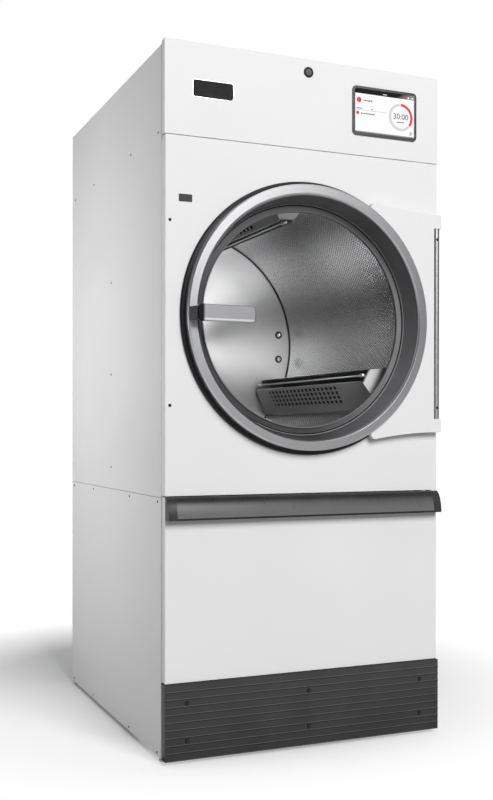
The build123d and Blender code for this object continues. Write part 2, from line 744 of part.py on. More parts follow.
with BuildPart() as display_bezel:
    with BuildSketch(front_plane(front_y)):
        with Locations((bezel_x, bezel_z)):
            RectangleRounded(BEZEL_W, BEZEL_H, BEZEL_ROUND)
    extrude(amount=BEZEL_T)
    chamfer(display_bezel.faces().sort_by(Axis.Y)[0].edges(), BEZEL_EDGE)
    with BuildSketch(front_plane(front_y)):
        with Locations((bezel_x, bezel_z)):
            Rectangle(MODULE_W, MODULE_H)
    extrude(amount=-MODULE_D)
    with BuildSketch(front_plane(front_y - BEZEL_T)):
        with Locations((bezel_x, bezel_z)):
            RectangleRounded(SCREEN_W + 2 * FIT, SCREEN_H + 2 * FIT, SCREEN_ROUND)
    extrude(amount=-SCREEN_T, mode=Mode.SUBTRACT)
finish(display_bezel, "display_bezel")

with BuildPart() as display_screen:
    with BuildSketch(front_plane(front_y - BEZEL_T + SCREEN_T)):
        with Locations((bezel_x, bezel_z)):
            RectangleRounded(SCREEN_W, SCREEN_H, SCREEN_ROUND)
    extrude(amount=SCREEN_T - SCREEN_SUNK)
finish(display_screen, "display_screen")

lock_back = pan_y - LOCK_END
lock_face = front_y - LOCK_HEAD
nut_y = front_y + SHEET
nut_r = LOCK_BARREL_R + LOCK_NUT_W
plug_bore_r = LOCK_PLUG_R + RUN_FIT
with BuildPart() as lock_housing:
    revolve(section([(plug_bore_r, lock_face), (LOCK_R - LOCK_EDGE, lock_face), (LOCK_R, lock_face + LOCK_EDGE),
                     (LOCK_R, front_y), (LOCK_BARREL_R, front_y), (LOCK_BARREL_R, nut_y), (nut_r, nut_y),
                     (nut_r, nut_y + LOCK_NUT_T), (LOCK_BARREL_R, nut_y + LOCK_NUT_T),
                     (LOCK_BARREL_R, lock_back), (plug_bore_r, lock_back)], 0, lock_z),
            axis=depth_axis(0, lock_z))
finish(lock_housing, "lock_housing")

cam_y = pan_y + SHEET + CAM_GAP
plug_face = lock_face + LOCK_SUNK
with BuildPart() as lock_cylinder:
    with BuildSketch(front_plane(plug_face)):
        with Locations((0, lock_z)):
            Circle(LOCK_PLUG_R)
    extrude(amount=plug_face - lock_back)
    with BuildSketch(front_plane(lock_back)):
        with Locations((0, lock_z)):
            Circle(LOCK_TAIL_R)
    extrude(amount=lock_back - cam_y)
    with BuildSketch(front_plane(cam_y)):
        with Locations((CAM_L / 2 - CAM_W / 4, lock_z)):
            RectangleRounded(CAM_L + CAM_W / 2, CAM_W, LOCK_TAIL_R)
    extrude(amount=-CAM_T)
    with BuildSketch(front_plane(plug_face)):
        with Locations((0, lock_z)):
            Rectangle(KEY_W, KEY_H)
    extrude(amount=-KEY_D, mode=Mode.SUBTRACT)
finish(lock_cylinder, "lock_cylinder")

# ================================================================ lint door
lint_door_top = lint_top - PANEL_GAP
with BuildPart() as lint_door_panel:
    add(hinged_pan(panel_half, lint_low, lint_door_top))
finish(lint_door_panel, "lint_door_panel")


def lip_outline(wall):
    """Quarter ellipse that curls out and down from the lint door's top edge, hollow if it has a wall."""
    low = lint_top - LIP_H
    with BuildSketch() as outline:
        with BuildLine():
            EllipticalCenterArc((front_y, low), LIP_PROUD, LIP_H, start_angle=90, arc_size=90)
            Line((front_y - LIP_PROUD, low), (front_y, low))
            Line((front_y, low), (front_y, lint_top))
        make_face()
        if wall:
            with BuildLine():
                EllipticalCenterArc((front_y, low), LIP_PROUD - wall, LIP_H - wall, start_angle=90, arc_size=90)
                Line((front_y - LIP_PROUD + wall, low), (front_y, low))
                Line((front_y, low), (front_y, lint_top - wall))
            make_face(mode=Mode.SUBTRACT)
            with Locations((front_y - LIP_WALL / 2, low + LIP_FOOT_Z)):
                Rectangle(LIP_WALL, LIP_FOOT_H)
    return outline.sketch


with BuildPart() as lint_handle:
    with BuildSketch(Plane.YZ.offset(LIP_CAP - panel_half)):
        add(lip_outline(LIP_WALL))
    extrude(amount=2 * (panel_half - LIP_CAP))
finish(lint_handle, "lint_handle")

with BuildPart() as handle_end_caps:
    for start, closed in ((-panel_half, -panel_half), (panel_half - LIP_CAP, panel_half - LIP_WALL)):
        with BuildSketch(Plane.YZ.offset(start)):
            add(lip_outline(LIP_WALL))
        extrude(amount=LIP_CAP)
        with BuildSketch(Plane.YZ.offset(closed)):
            add(lip_outline(0))
        extrude(amount=LIP_WALL)
finish(handle_end_caps, "handle_end_caps")

# ================================================================ drum door
ring_back = front_y - BASE_RING_D - DOOR_PLAY
door_line = depth_axis(0, door_z)

with BuildPart() as door_ring:
    revolve(section([(ring_r, ring_back), (ring_r, ring_y + RING_EDGE), (ring_r - RING_EDGE, ring_y),
                     (ring_inner_r + RING_INNER_EDGE, ring_y), (ring_inner_r, ring_y + RING_INNER_EDGE),
                     (ring_inner_r, ring_y + RING_LIP_D), (ring_inner_r + RING_WALL, ring_y + RING_LIP_D),
                     (ring_inner_r + RING_WALL, ring_y + RING_INNER_EDGE + RING_WALL),
                     (ring_inner_r + RING_INNER_EDGE + RING_WALL, ring_y + RING_WALL),
                     (ring_r - RING_EDGE - RING_WALL, ring_y + RING_WALL),
                     (ring_r - RING_WALL, ring_y + RING_EDGE + RING_WALL), (ring_r - RING_WALL, ring_back)],
                    0, door_z), axis=door_line)
finish(door_ring, "door_ring")

base_inner_r = ring_inner_r - BASE_LIP
with BuildPart() as door_base_ring:
    revolve(section([(base_inner_r, ring_back), (base_ring_r - BASE_EDGE, ring_back),
                     (base_ring_r, ring_back + BASE_EDGE), (base_ring_r, front_y - DOOR_PLAY),
                     (base_inner_r, front_y - DOOR_PLAY)], 0, door_z), axis=door_line)
finish(door_base_ring, "door_base_ring")

dish_y = front_y + DISH_BACK
dish_start = ring_y + RING_INNER_EDGE
dish_bend = dish_start + DISH_COLLAR
dish_front_r = ring_inner_r - FIT
gasket_r = glass_view_r + GASKET_LIP
with BuildPart() as door_dish:
    revolve(section([(dish_front_r, dish_start), (dish_front_r, dish_bend), (dish_back_r, dish_y + DISH_WALL),
                     (gasket_r + FIT, dish_y + DISH_WALL), (gasket_r + FIT, dish_y),
                     (dish_back_r - DISH_WALL, dish_y), (dish_front_r - DISH_WALL, dish_bend),
                     (dish_front_r - DISH_WALL, dish_start)], 0, door_z), axis=door_line)
finish(door_dish, "door_dish")

dish_rear = dish_y + DISH_WALL
groove_y = dish_rear + GROOVE_GAP
groove_end = groove_y + GLASS_T
gasket_outer = glass_r + GASKET_COVER
with BuildPart() as glass_gasket:
    revolve(section([(glass_view_r, dish_y - GASKET_T), (gasket_r, dish_y - GASKET_T), (gasket_r, dish_rear),
                     (gasket_outer, dish_rear), (gasket_outer, groove_end + GASKET_T),
                     (gasket_r, groove_end + GASKET_T), (gasket_r, groove_end), (glass_r, groove_end),
                     (glass_r, groove_y), (glass_view_r, groove_y)], 0, door_z), axis=door_line)
finish(glass_gasket, "glass_gasket")

with BuildPart() as door_glass:
    with BuildSketch(front_plane(groove_end - FIT)):
        with Locations((0, door_z)):
            Circle(glass_r - FIT)
    extrude(amount=GLASS_T - 2 * FIT)
finish(door_glass, "door_glass")

wing_x = hinge_x + KNUCKLE_W / 2
notch_x = hinge_x - KNUCKLE_W / 2
wing_y = front_y - WING_PROUD
root_r = ring_r + FIT
wing_tip_r = ring_r + WING_FLARE


def wing_outline(inset):
    """Hinge cover: hugs the door ring on its left and flares to a tip above and below."""
    tip_x = wing_tip_r * cos(radians(WING_TIP_ANGLE))
    tip_z = wing_tip_r * sin(radians(WING_TIP_ANGLE))
    root = (root_r * cos(radians(WING_TIP_ANGLE)), root_r * sin(radians(WING_TIP_ANGLE)))
    with BuildSketch() as outline:
        with BuildLine():
            Line((root[0], door_z + root[1]), (tip_x, door_z + tip_z))
            TangentArc((wing_x, door_z + WING_H / 2), (tip_x, door_z + tip_z), tangent=(-1, 0))
            Line((wing_x, door_z + WING_H / 2), (wing_x, door_z - WING_H / 2))
            TangentArc((wing_x, door_z - WING_H / 2), (tip_x, door_z - tip_z), tangent=(-1, 0))
            Line((tip_x, door_z - tip_z), (root[0], door_z - root[1]))
            ThreePointArc((root[0], door_z - root[1]), (root_r, door_z), (root[0], door_z + root[1]))
        make_face()
        tips = outline.vertices().group_by(Axis.Y)
        fillet([tips[0][0], tips[-1][0]], WING_TIP_ROUND)
        if inset:
            offset(amount=-inset, mode=Mode.REPLACE)
    return outline.sketch


knuckle_z = POST_H / 2 + DOOR_PLAY
with BuildPart() as door_wing:
    with BuildSketch(front_plane(wing_y + WING_D)):
        add(wing_outline(0))
    extrude(amount=WING_D)
    with BuildSketch(front_plane(wing_y + WING_D)):
        add(wing_outline(WING_SHEET))
    extrude(amount=WING_D - WING_SHEET, mode=Mode.SUBTRACT)
    wall_z = knuckle_z + WING_SHEET
    block(notch_x - WING_SHEET, wing_x, wing_y, wing_y + WING_D, door_z - wall_z, door_z + wall_z)
    block(notch_x, wing_x + CUT, wing_y - CUT, wing_y + WING_D + CUT, door_z - knuckle_z, door_z + knuckle_z,
          mode=Mode.SUBTRACT)
    knuckle_top = (WING_H - WING_SHEET) / 2
    for low, high in ((-knuckle_top, -knuckle_z), (knuckle_z, knuckle_top)):
        block(notch_x, wing_x, wing_y, wing_y + KNUCKLE_D, door_z + low, door_z + high)
    with Locations((hinge_x, hinge_y, door_z)):
        Cylinder(HINGE_PIN_R + RUN_FIT, POST_H + 2 * (HINGE_PIN_L + CUT), mode=Mode.SUBTRACT)
finish(door_wing, "door_wing")

grip_z = door_z + GRIP_RISE
grip_start = GRIP_INSET - ring_r
grip_mid = grip_start + GRIP_L / 2
neck_x = -(ring_r + ring_inner_r) / 2
with BuildPart() as door_handle:
    with BuildSketch(front_plane(grip_y + GRIP_T)):
        with Locations((grip_mid, grip_z)):
            RectangleRounded(GRIP_L, GRIP_H, GRIP_ROUND)
    extrude(amount=GRIP_T)
    chamfer(door_handle.faces().sort_by(Axis.Y)[0].edges(), GRIP_EDGE)
    with BuildSketch(front_plane(ring_y)):
        with Locations((neck_x, grip_z)):
            Rectangle(NECK_W, NECK_H)
    with BuildSketch(front_plane(grip_y + GRIP_T)):
        with Locations((grip_start + NECK_TOP_IN, grip_z)):
            Rectangle(NECK_TOP_W, NECK_TOP_H)
    loft()
finish(door_handle, "door_handle")

# ================================================================ drum
seal_inner = opening_r + SHEET + FIT
seal_outer = seal_inner + SEAL_T
with BuildPart() as drum_seal:
    revolve(tube_section(seal_inner, seal_outer, drum_y - SEAL_D, drum_y + SEAL_IN, 0, door_z), axis=door_line)
finish(drum_seal, "drum_seal")

drum_outer = drum_r + DRUM_SHEET
drum_end = drum_back_y + DRUM_RIM
with BuildPart() as drum_shell:
    revolve(section([(seal_outer + FIT, drum_y), (drum_outer, drum_y), (drum_outer, drum_end),
                     (drum_r, drum_end),
                     (drum_r, drum_y + DRUM_SHEET), (seal_outer + FIT, drum_y + DRUM_SHEET)], 0, door_z),
            axis=door_line)
finish(drum_shell, "drum_shell")

bolt_places = []
for arm in range(ARM_COUNT):
    turn = radians(arm * 360 / ARM_COUNT)
    for across in (-BOLT_PAIR / 2, BOLT_PAIR / 2):
        bolt_places.append((bolt_line * cos(turn) - across * sin(turn),
                            door_z + bolt_line * sin(turn) + across * cos(turn)))
back_r = drum_r - FIT
spider_y = drum_back_y + BACK_T
with BuildPart() as drum_back:
    revolve(section([(0, drum_back_y), (back_r, drum_back_y), (back_r, drum_end - RIM_END),
                     (back_r - BACK_T, drum_end - RIM_END), (back_r - BACK_T, spider_y), (0, spider_y)],
                    0, door_z), axis=door_line)
    with BuildSketch(front_plane(drum_back_y)):
        with Locations(*bolt_places):
            Circle(BOLT_R + FIT)
    extrude(amount=-BACK_T, mode=Mode.SUBTRACT)
finish(drum_back, "drum_back")

with BuildPart() as drum_shaft:
    with BuildSketch(front_plane(spider_y)):
        with Locations((0, door_z)):
            with PolarLocations(arm_r / 2, ARM_COUNT):
                Rectangle(arm_r, ARM_W)
            Circle(HUB_R)
        with Locations(*bolt_places):
            Circle(BOLT_R + FIT, mode=Mode.SUBTRACT)
    extrude(amount=-ARM_T)
    with BuildSketch(front_plane(spider_y)):
        with Locations((0, door_z)):
            Circle(HUB_R)
    extrude(amount=-HUB_T)
    with BuildSketch(front_plane(spider_y)):
        with Locations((0, door_z)):
            Circle(SHAFT_R)
    extrude(amount=spider_y - rear_y + SHAFT_END)
finish(drum_shaft, "drum_shaft")

with BuildPart() as drum_bolts:
    with BuildSketch(front_plane(drum_back_y)):
        with Locations(*bolt_places):
            Circle(BOLT_HEAD_R)
    extrude(amount=BOLT_HEAD_T, taper=BOLT_TAPER_ANGLE)
    with BuildSketch(front_plane(drum_back_y)):
        with Locations(*bolt_places):
            Circle(BOLT_R)
    extrude(amount=-BACK_T - ARM_T - BOLT_END)
finish(drum_bolts, "drum_bolts")


def rib_solid(inset):
    """Lifting rib at the top of the drum: sloping sides and ends, and a base that follows the shell."""
    top = drum_r - RIB_H - inset
    foot = drum_r - RIB_FOOT
    past = drum_r + RIB_FOOT
    base_x = RIB_BASE_W / 2 - inset
    top_x = RIB_TOP_W / 2 - inset
    rib_y0, rib_y1 = drum_y + RIB_FRONT + inset, drum_back_y - RIB_END - inset
    with BuildPart() as rib:
        with BuildSketch(front_plane(rib_y1)) as across:
            with BuildLine():
                Polyline((-base_x, past), (-base_x, foot), (-top_x, top), (top_x, top), (base_x, foot),
                         (base_x, past), close=True)
            make_face()
            fillet(across.vertices().group_by(Axis.Y)[0], RIB_ROUND - inset)
            if not inset:
                Circle(drum_r - FIT, mode=Mode.INTERSECT)
        extrude(amount=rib_y1 - rib_y0)
        with BuildSketch(Plane.YZ) as along:
            with BuildLine():
                Polyline((rib_y0, past), (rib_y0, foot), (rib_y0 + RIB_FRONT_RUN, top),
                         (rib_y1 - RIB_BACK_RUN, top), (rib_y1, foot), (rib_y1, past), close=True)
            make_face()
            fillet(along.vertices().group_by(Axis.Y)[0], RIB_NOSE - inset)
        extrude(amount=RIB_BASE_W, both=True, mode=Mode.INTERSECT)
    return rib.part


with BuildPart() as top_rib:
    add(rib_solid(0))
    add(rib_solid(RIB_SHEET), mode=Mode.SUBTRACT)
one_rib = Location((0, 0, door_z)) * top_rib.part
with BuildPart() as drum_ribs:
    for n in range(RIB_COUNT):
        turn = RIB_ANGLE - 90 + n * 360 / RIB_COUNT
        add(one_rib.rotate(door_line, -turn))
finish(drum_ribs, "drum_ribs")


def pulley(rim_r, bore_r, hub_r, y, x, z, windows):
    """Flat-belt pulley: rim, web and hub, with round windows in the web."""
    with BuildPart() as wheel:
        y0, y1 = y - PULLEY_W / 2, y + PULLEY_W / 2
        web_y0, web_y1 = y - PULLEY_WEB / 2, y + PULLEY_WEB / 2
        rim_in = rim_r - PULLEY_RIM
        revolve(section([(bore_r, y0), (hub_r, y0), (hub_r, web_y0), (rim_in, web_y0), (rim_in, y0),
                         (rim_r, y0), (rim_r, y1), (rim_in, y1), (rim_in, web_y1), (hub_r, web_y1), (hub_r, y1),
                         (bore_r, y1)], x, z), axis=depth_axis(x, z))
        with BuildSketch(front_plane(y0)):
            with Locations((x, z)):
                with PolarLocations((rim_in + hub_r) / 2, windows):
                    Circle((rim_in - hub_r) * WINDOW_SHARE / 2)
        extrude(amount=-PULLEY_W, mode=Mode.SUBTRACT)
    return wheel.part


first_y = back_y + FIRST_BELT_Y
second_y = back_y + SECOND_BELT_Y
with BuildPart() as drum_pulley:
    add(pulley(DRUM_PULLEY_R, SHAFT_R + RUN_FIT, DRUM_HUB_R, first_y, 0, door_z, DRUM_WINDOWS))
finish(drum_pulley, "drum_pulley")

with BuildPart() as jackshaft:
    with BuildSketch(front_plane(back_y + JACK_START)):
        with Locations((JACK_X, jack_z)):
            Circle(JACK_SHAFT_R)
    extrude(amount=back_y + JACK_START - rear_y + SHAFT_END)
    with BuildSketch(front_plane(first_y - PULLEY_W / 2)):
        with Locations((JACK_X, jack_z)):
            Circle(JACK_SMALL_R)
    extrude(amount=-PULLEY_W)
    add(pulley(JACK_LARGE_R, JACK_SHAFT_R, JACK_HUB_R, second_y, JACK_X, jack_z, JACK_WINDOWS))
finish(jackshaft, "jackshaft")

# ================================================================ trunnion, jackshaft housing and belts
trunnion_end = back_y + TRUNNION_L
web_low = TRUNNION_R - WEB_SEAT
with BuildPart() as trunnion_housing:
    with BuildSketch(front_plane(back_y)):
        with Locations((0, door_z)):
            RectangleRounded(TRUNNION_PLATE, TRUNNION_PLATE, PLATE_ROUND)
    extrude(amount=-PLATE_T)
    with BuildSketch(front_plane(back_y)):
        with Locations((0, door_z)):
            Circle(TRUNNION_R)
    extrude(amount=-TRUNNION_L)
    for turn in range(4):
        across = radians(45 + 90 * turn)
        with BuildSketch(Plane(origin=(0, 0, door_z), x_dir=(0, 1, 0), z_dir=(cos(across), 0, sin(across)))):
            with BuildLine():
                Polyline((back_y + PLATE_T, web_low), (trunnion_end - WEB_SHORT, web_low),
                         (back_y + PLATE_T, WEB_REACH), close=True)
            make_face()
        extrude(amount=PLATE_T / 2, both=True)
    with BuildSketch(front_plane(back_y)):
        with Locations((0, door_z)):
            Circle(BEARING_R)
    extrude(amount=-TRUNNION_L, mode=Mode.SUBTRACT)
finish(trunnion_housing, "trunnion_housing")

with BuildPart() as drum_bearings:
    for y in (back_y + BEARING_IN, trunnion_end - BEARING_W - BEARING_IN):
        revolve(tube_section(SHAFT_R + RUN_FIT, BEARING_R - RUN_FIT, y, y + BEARING_W, 0, door_z),
                axis=door_line)
finish(drum_bearings, "drum_bearings")

with BuildPart() as jackshaft_bracket:
    with BuildSketch(front_plane(back_y)):
        with Locations((JACK_X, jack_z)):
            RectangleRounded(JACK_PLATE, JACK_PLATE, JACK_PLATE_ROUND)
    extrude(amount=-PLATE_T)
    with BuildSketch(front_plane(back_y)):
        with Locations((JACK_X, jack_z)):
            Circle(JACK_HOUSING_R)
    extrude(amount=-JACK_HOUSING_L)
    with BuildSketch(front_plane(back_y)):
        with Locations((JACK_X, jack_z)):
            Circle(JACK_SHAFT_R + RUN_FIT)
    extrude(amount=-TRUNNION_L, mode=Mode.SUBTRACT)
finish(jackshaft_bracket, "jackshaft_bracket")


def belt(small, large, y):
    """Belt loop round two pulleys given as (x, z, radius)."""
    with BuildPart() as loop:
        for grow, mode in ((BELT_PLAY + BELT_T, Mode.ADD), (BELT_PLAY, Mode.SUBTRACT)):
            with BuildSketch(front_plane(y + BELT_W / 2)) as hull:
                for x, z, r in (small, large):
                    with Locations((x, z)):
                        Circle(r + grow)
                make_hull(hull.edges())
            extrude(amount=BELT_W, mode=mode)
    return loop.part


with BuildPart() as drive_belts:
    add(belt((JACK_X, jack_z, JACK_SMALL_R), (0, door_z, DRUM_PULLEY_R), first_y))
    add(belt((MOTOR_X, MOTOR_Z, MOTOR_PULLEY_R), (JACK_X, jack_z, JACK_LARGE_R), second_y))
finish(drive_belts, "drive_belts")

guard_half = DRUM_PULLEY_R + GUARD_ROOM
guard_low = MOTOR_Z - MOTOR_PULLEY_R - GUARD_ROOM
with BuildPart() as belt_guard:
    with BuildSketch(front_plane(rear_y)):
        with BuildLine():
            Polyline((-guard_half, door_z + guard_half), (guard_half, door_z + guard_half),
                     (guard_half, jack_z + GUARD_SHOULDER),
                     (JACK_X + JACK_LARGE_R + GUARD_ROOM / 2, jack_z - JACK_LARGE_R),
                     (MOTOR_X + GUARD_FOOT / 2, guard_low), (MOTOR_X - GUARD_FOOT / 2, guard_low),
                     (-guard_half, jack_z - JACK_LARGE_R), close=True)
        make_face()
    extrude(amount=GUARD_D)
    offset(amount=-SHEET, openings=belt_guard.faces().sort_by(Axis.Y)[0])
    with BuildSketch(front_plane(rear_y)):
        with Locations((0, door_z + GUARD_SLOT_RISE)):
            with GridLocations(GUARD_SLOT_PITCH, GUARD_SLOT_ROW, 2, GUARD_SLOT_ROWS):
                Rectangle(GUARD_SLOT_L, GUARD_SLOT_W)
    extrude(amount=2 * SHEET, mode=Mode.SUBTRACT)
finish(belt_guard, "belt_guard")

# ================================================================ motor and blower
scroll_end = chamber_back_y + SCROLL_W
motor_y = scroll_end + MOTOR_GAP
motor_back = motor_y + MOTOR_L
motor_line = depth_axis(MOTOR_X, MOTOR_Z)
shelf_z = MOTOR_Z - MOTOR_R - MOTOR_FOOT_DROP
shield_r = MOTOR_R - MOTOR_BELL_STEP
shield_d = MOTOR_BELL - MOTOR_BELL_EDGE
with BuildPart() as motor_body:
    revolve(section([(0, motor_y), (MOTOR_BOSS_R, motor_y), (shield_r, motor_y + shield_d),
                     (MOTOR_R, motor_y + MOTOR_BELL), (MOTOR_R, motor_back - MOTOR_BELL),
                     (shield_r, motor_back - shield_d), (MOTOR_BOSS_R, motor_back), (0, motor_back)],
                    MOTOR_X, MOTOR_Z), axis=motor_line)
    block(MOTOR_X - MOTOR_FOOT_W / 2, MOTOR_X + MOTOR_FOOT_W / 2, motor_y + MOTOR_FOOT_IN,
          motor_back - MOTOR_FOOT_IN, shelf_z, MOTOR_Z - MOTOR_R + MOTOR_FOOT_UP)
    block(MOTOR_X - MOTOR_BOX_W / 2, MOTOR_X + MOTOR_BOX_W / 2, motor_y + MOTOR_BOX_IN,
          motor_back - MOTOR_BOX_IN, MOTOR_Z + MOTOR_BOX_FOOT, MOTOR_Z + MOTOR_R + MOTOR_BOX_RISE)
    with BuildSketch(front_plane(motor_y)):
        with Locations((MOTOR_X, MOTOR_Z)):
            Circle(MOTOR_SHAFT_R + RUN_FIT)
    extrude(amount=-MOTOR_L, mode=Mode.SUBTRACT)
finish(motor_body, "motor_body")

with BuildPart() as motor_mount:
    shelf_x0, shelf_x1 = MOTOR_X - SHELF_W / 2, MOTOR_X + SHELF_W / 2
    shelf_low, plate_y = shelf_z - PLATE_T, sheet_back - PLATE_T
    block(shelf_x0, shelf_x1, motor_y + SHELF_START, sheet_back, shelf_low, shelf_z)
    block(shelf_x0, shelf_x1, plate_y, sheet_back, shelf_z - SHELF_DROP, shelf_low)
    for x in (MOTOR_X - BRACE_X, MOTOR_X + BRACE_X):
        with BuildSketch(Plane.YZ.offset(x)):
            with BuildLine():
                Polyline((motor_y + BRACE_START, shelf_low), (plate_y, shelf_low),
                         (plate_y, shelf_z - BRACE_DROP), close=True)
            make_face()
        extrude(amount=BRACE_T / 2, both=True)
finish(motor_mount, "motor_mount")


def scroll_outline(shrink, past):
    """Spiral fan casing that opens out evenly, with a straight outlet along the bottom."""
    with BuildSketch() as outline:
        with BuildLine():
            spiral = []
            for n in range(SCROLL_STEPS + 1):
                share = n / SCROLL_STEPS
                r = SCROLL_START_R * (SCROLL_END_R / SCROLL_START_R) ** share - shrink
                a = radians(SCROLL_FIRST_ANGLE + share * SCROLL_SWEEP_ANGLE)
                spiral.append((MOTOR_X + r * cos(a), MOTOR_Z + r * sin(a)))
            Spline(*spiral)
            low = MOTOR_Z - SCROLL_END_R + shrink
            Polyline(spiral[-1], (OUTLET_X + past, low), (OUTLET_X + past, spiral[0][1]), spiral[0])
        make_face()
    return outline.sketch


with BuildPart() as blower_housing:
    with BuildSketch(front_plane(scroll_end)):
        add(scroll_outline(0, 0))
    extrude(amount=SCROLL_W)
    with BuildSketch(front_plane(scroll_end - SHEET)):
        add(scroll_outline(SHEET, 5))
    extrude(amount=SCROLL_W - 2 * SHEET, mode=Mode.SUBTRACT)
    with BuildSketch(front_plane(chamber_back_y)):
        with Locations((MOTOR_X, MOTOR_Z)):
            Circle(INLET_R)
    extrude(amount=-2 * SHEET, mode=Mode.SUBTRACT)
    with BuildSketch(front_plane(scroll_end)):
        with Locations((MOTOR_X, MOTOR_Z)):
            Circle(MOTOR_SHAFT_R + SHAFT_ROOM)
    extrude(amount=2 * SHEET, mode=Mode.SUBTRACT)
finish(blower_housing, "blower_housing")

fan_front = chamber_back_y + FAN_IN
fan_back = fan_front + FAN_W
fan_plate = fan_back - FAN_SHEET
fan_bore = MOTOR_SHAFT_R + RUN_FIT
with BuildPart() as fan_wheel:
    revolve(tube_section(fan_bore, FAN_R, fan_plate, fan_back, MOTOR_X, MOTOR_Z), axis=motor_line)
    revolve(tube_section(fan_bore, FAN_HUB_R, fan_plate - FAN_HUB_L, fan_plate, MOTOR_X, MOTOR_Z),
            axis=motor_line)
    revolve(tube_section(FAN_R - FAN_RING_W, FAN_R, fan_front, fan_front + FAN_SHEET, MOTOR_X, MOTOR_Z),
            axis=motor_line)
    with BuildSketch(front_plane(fan_plate)):
        with Locations((MOTOR_X, MOTOR_Z)):
            with PolarLocations((FAN_R + FAN_INNER_R) / 2, FAN_BLADES):
                Rectangle(FAN_R - FAN_INNER_R - FAN_SHEET, FAN_SHEET, rotation=BLADE_ANGLE)
    extrude(amount=FAN_W - 2 * FAN_SHEET)
finish(fan_wheel, "fan_wheel")

with BuildPart() as motor_shaft:
    with BuildSketch(front_plane(fan_front + FAN_SHAFT_IN)):
        with Locations((MOTOR_X, MOTOR_Z)):
            Circle(MOTOR_SHAFT_R)
    extrude(amount=fan_front + FAN_SHAFT_IN - rear_y + SHAFT_END)
    with BuildSketch(front_plane(second_y - PULLEY_W / 2)):
        with Locations((MOTOR_X, MOTOR_Z)):
            Circle(MOTOR_PULLEY_R)
    extrude(amount=-PULLEY_W)
finish(motor_shaft, "motor_shaft")

duct_half = DUCT_W / 2


def duct_outline(inset):
    """Plan of the exhaust duct: it takes the blower's outlet and turns to the rear."""
    with BuildSketch() as outline:
        with BuildLine():
            Polyline((OUTLET_X, chamber_back_y + inset), (duct_x, chamber_back_y + inset),
                     (duct_x + duct_half - inset, chamber_back_y + duct_half),
                     (duct_x + duct_half - inset, sheet_back - inset),
                     (duct_x - duct_half + inset, sheet_back - inset),
                     (duct_x - duct_half + inset, scroll_end - inset), (OUTLET_X, scroll_end - inset),
                     close=True)
        make_face()
    return outline.sketch


with BuildPart() as exhaust_duct:
    with BuildSketch(Plane.XY.offset(DUCT_Z - duct_half)):
        add(duct_outline(0))
    extrude(amount=DUCT_W)
    with BuildSketch(Plane.XY.offset(DUCT_Z - duct_half + SHEET)):
        add(duct_outline(SHEET))
    extrude(amount=DUCT_W - 2 * SHEET, mode=Mode.SUBTRACT)
    revolve(tube_section(COLLAR_R - SHEET, COLLAR_R, sheet_back - SHEET, back_y + COLLAR_OUT, duct_x, DUCT_Z),
            axis=depth_axis(duct_x, DUCT_Z))
    with BuildSketch(front_plane(sheet_back)):
        with Locations((duct_x, DUCT_Z)):
            Circle(COLLAR_R - SHEET)
    extrude(amount=2 * SHEET, mode=Mode.SUBTRACT)
finish(exhaust_duct, "exhaust_duct")

# ================================================================ lint compartment
chamber_low = kick_top + CHAMBER_FLOOR
chamber_top = seam_z - CHAMBER_TOP_DROP
chamber_y = pan_y + SHEET
ledge_z = chamber_top - LEDGE_DROP
with BuildPart() as lint_chamber:
    with BuildSketch(Plane.XY.offset(chamber_low)):
        with Locations((0, (chamber_y + chamber_back_y) / 2)):
            Rectangle(2 * inner_w, chamber_back_y - chamber_y)
    extrude(amount=chamber_top - chamber_low)
    open_faces = [lint_chamber.faces().sort_by(Axis.Z)[-1], lint_chamber.faces().sort_by(Axis.Y)[0]]
    offset(amount=-SHEET, openings=open_faces)
    for side in (-1, 1):
        edge = side * (inner_w - SHEET)
        block(min(edge, edge - side * LEDGE), max(edge, edge - side * LEDGE), chamber_y, chamber_back_y - SHEET,
              ledge_z - LEDGE_T, ledge_z)
    with BuildSketch(front_plane(chamber_back_y)):
        with Locations((MOTOR_X, MOTOR_Z)):
            Circle(INLET_R)
    extrude(amount=2 * SHEET, mode=Mode.SUBTRACT)
finish(lint_chamber, "lint_chamber")

with BuildPart() as lint_screen:
    screen_w = 2 * (inner_w - SHEET - SCREEN_PLAY)
    screen_y0, screen_y1 = chamber_y + SCREEN_GAP, chamber_back_y - SHEET - SCREEN_PLAY
    with BuildSketch(Plane.XY.offset(ledge_z)):
        with Locations((0, (screen_y0 + screen_y1) / 2)):
            Rectangle(screen_w, screen_y1 - screen_y0)
            Rectangle(screen_w - 2 * SCREEN_FRAME_W, screen_y1 - screen_y0 - 2 * SCREEN_FRAME_W,
                      mode=Mode.SUBTRACT)
            with GridLocations(screen_w / 3, 1, 2, 1):
                Rectangle(SCREEN_FRAME_W, screen_y1 - screen_y0)
    extrude(amount=SCREEN_FRAME_T)
    mesh_z = ledge_z + SCREEN_FRAME_T / 2
    mesh_x = screen_w / 2 - SCREEN_EDGE
    block(-mesh_x, mesh_x, screen_y0 + SCREEN_EDGE, screen_y1 - SCREEN_EDGE, mesh_z - SCREEN_MESH_T, mesh_z)
finish(lint_screen, "lint_screen")

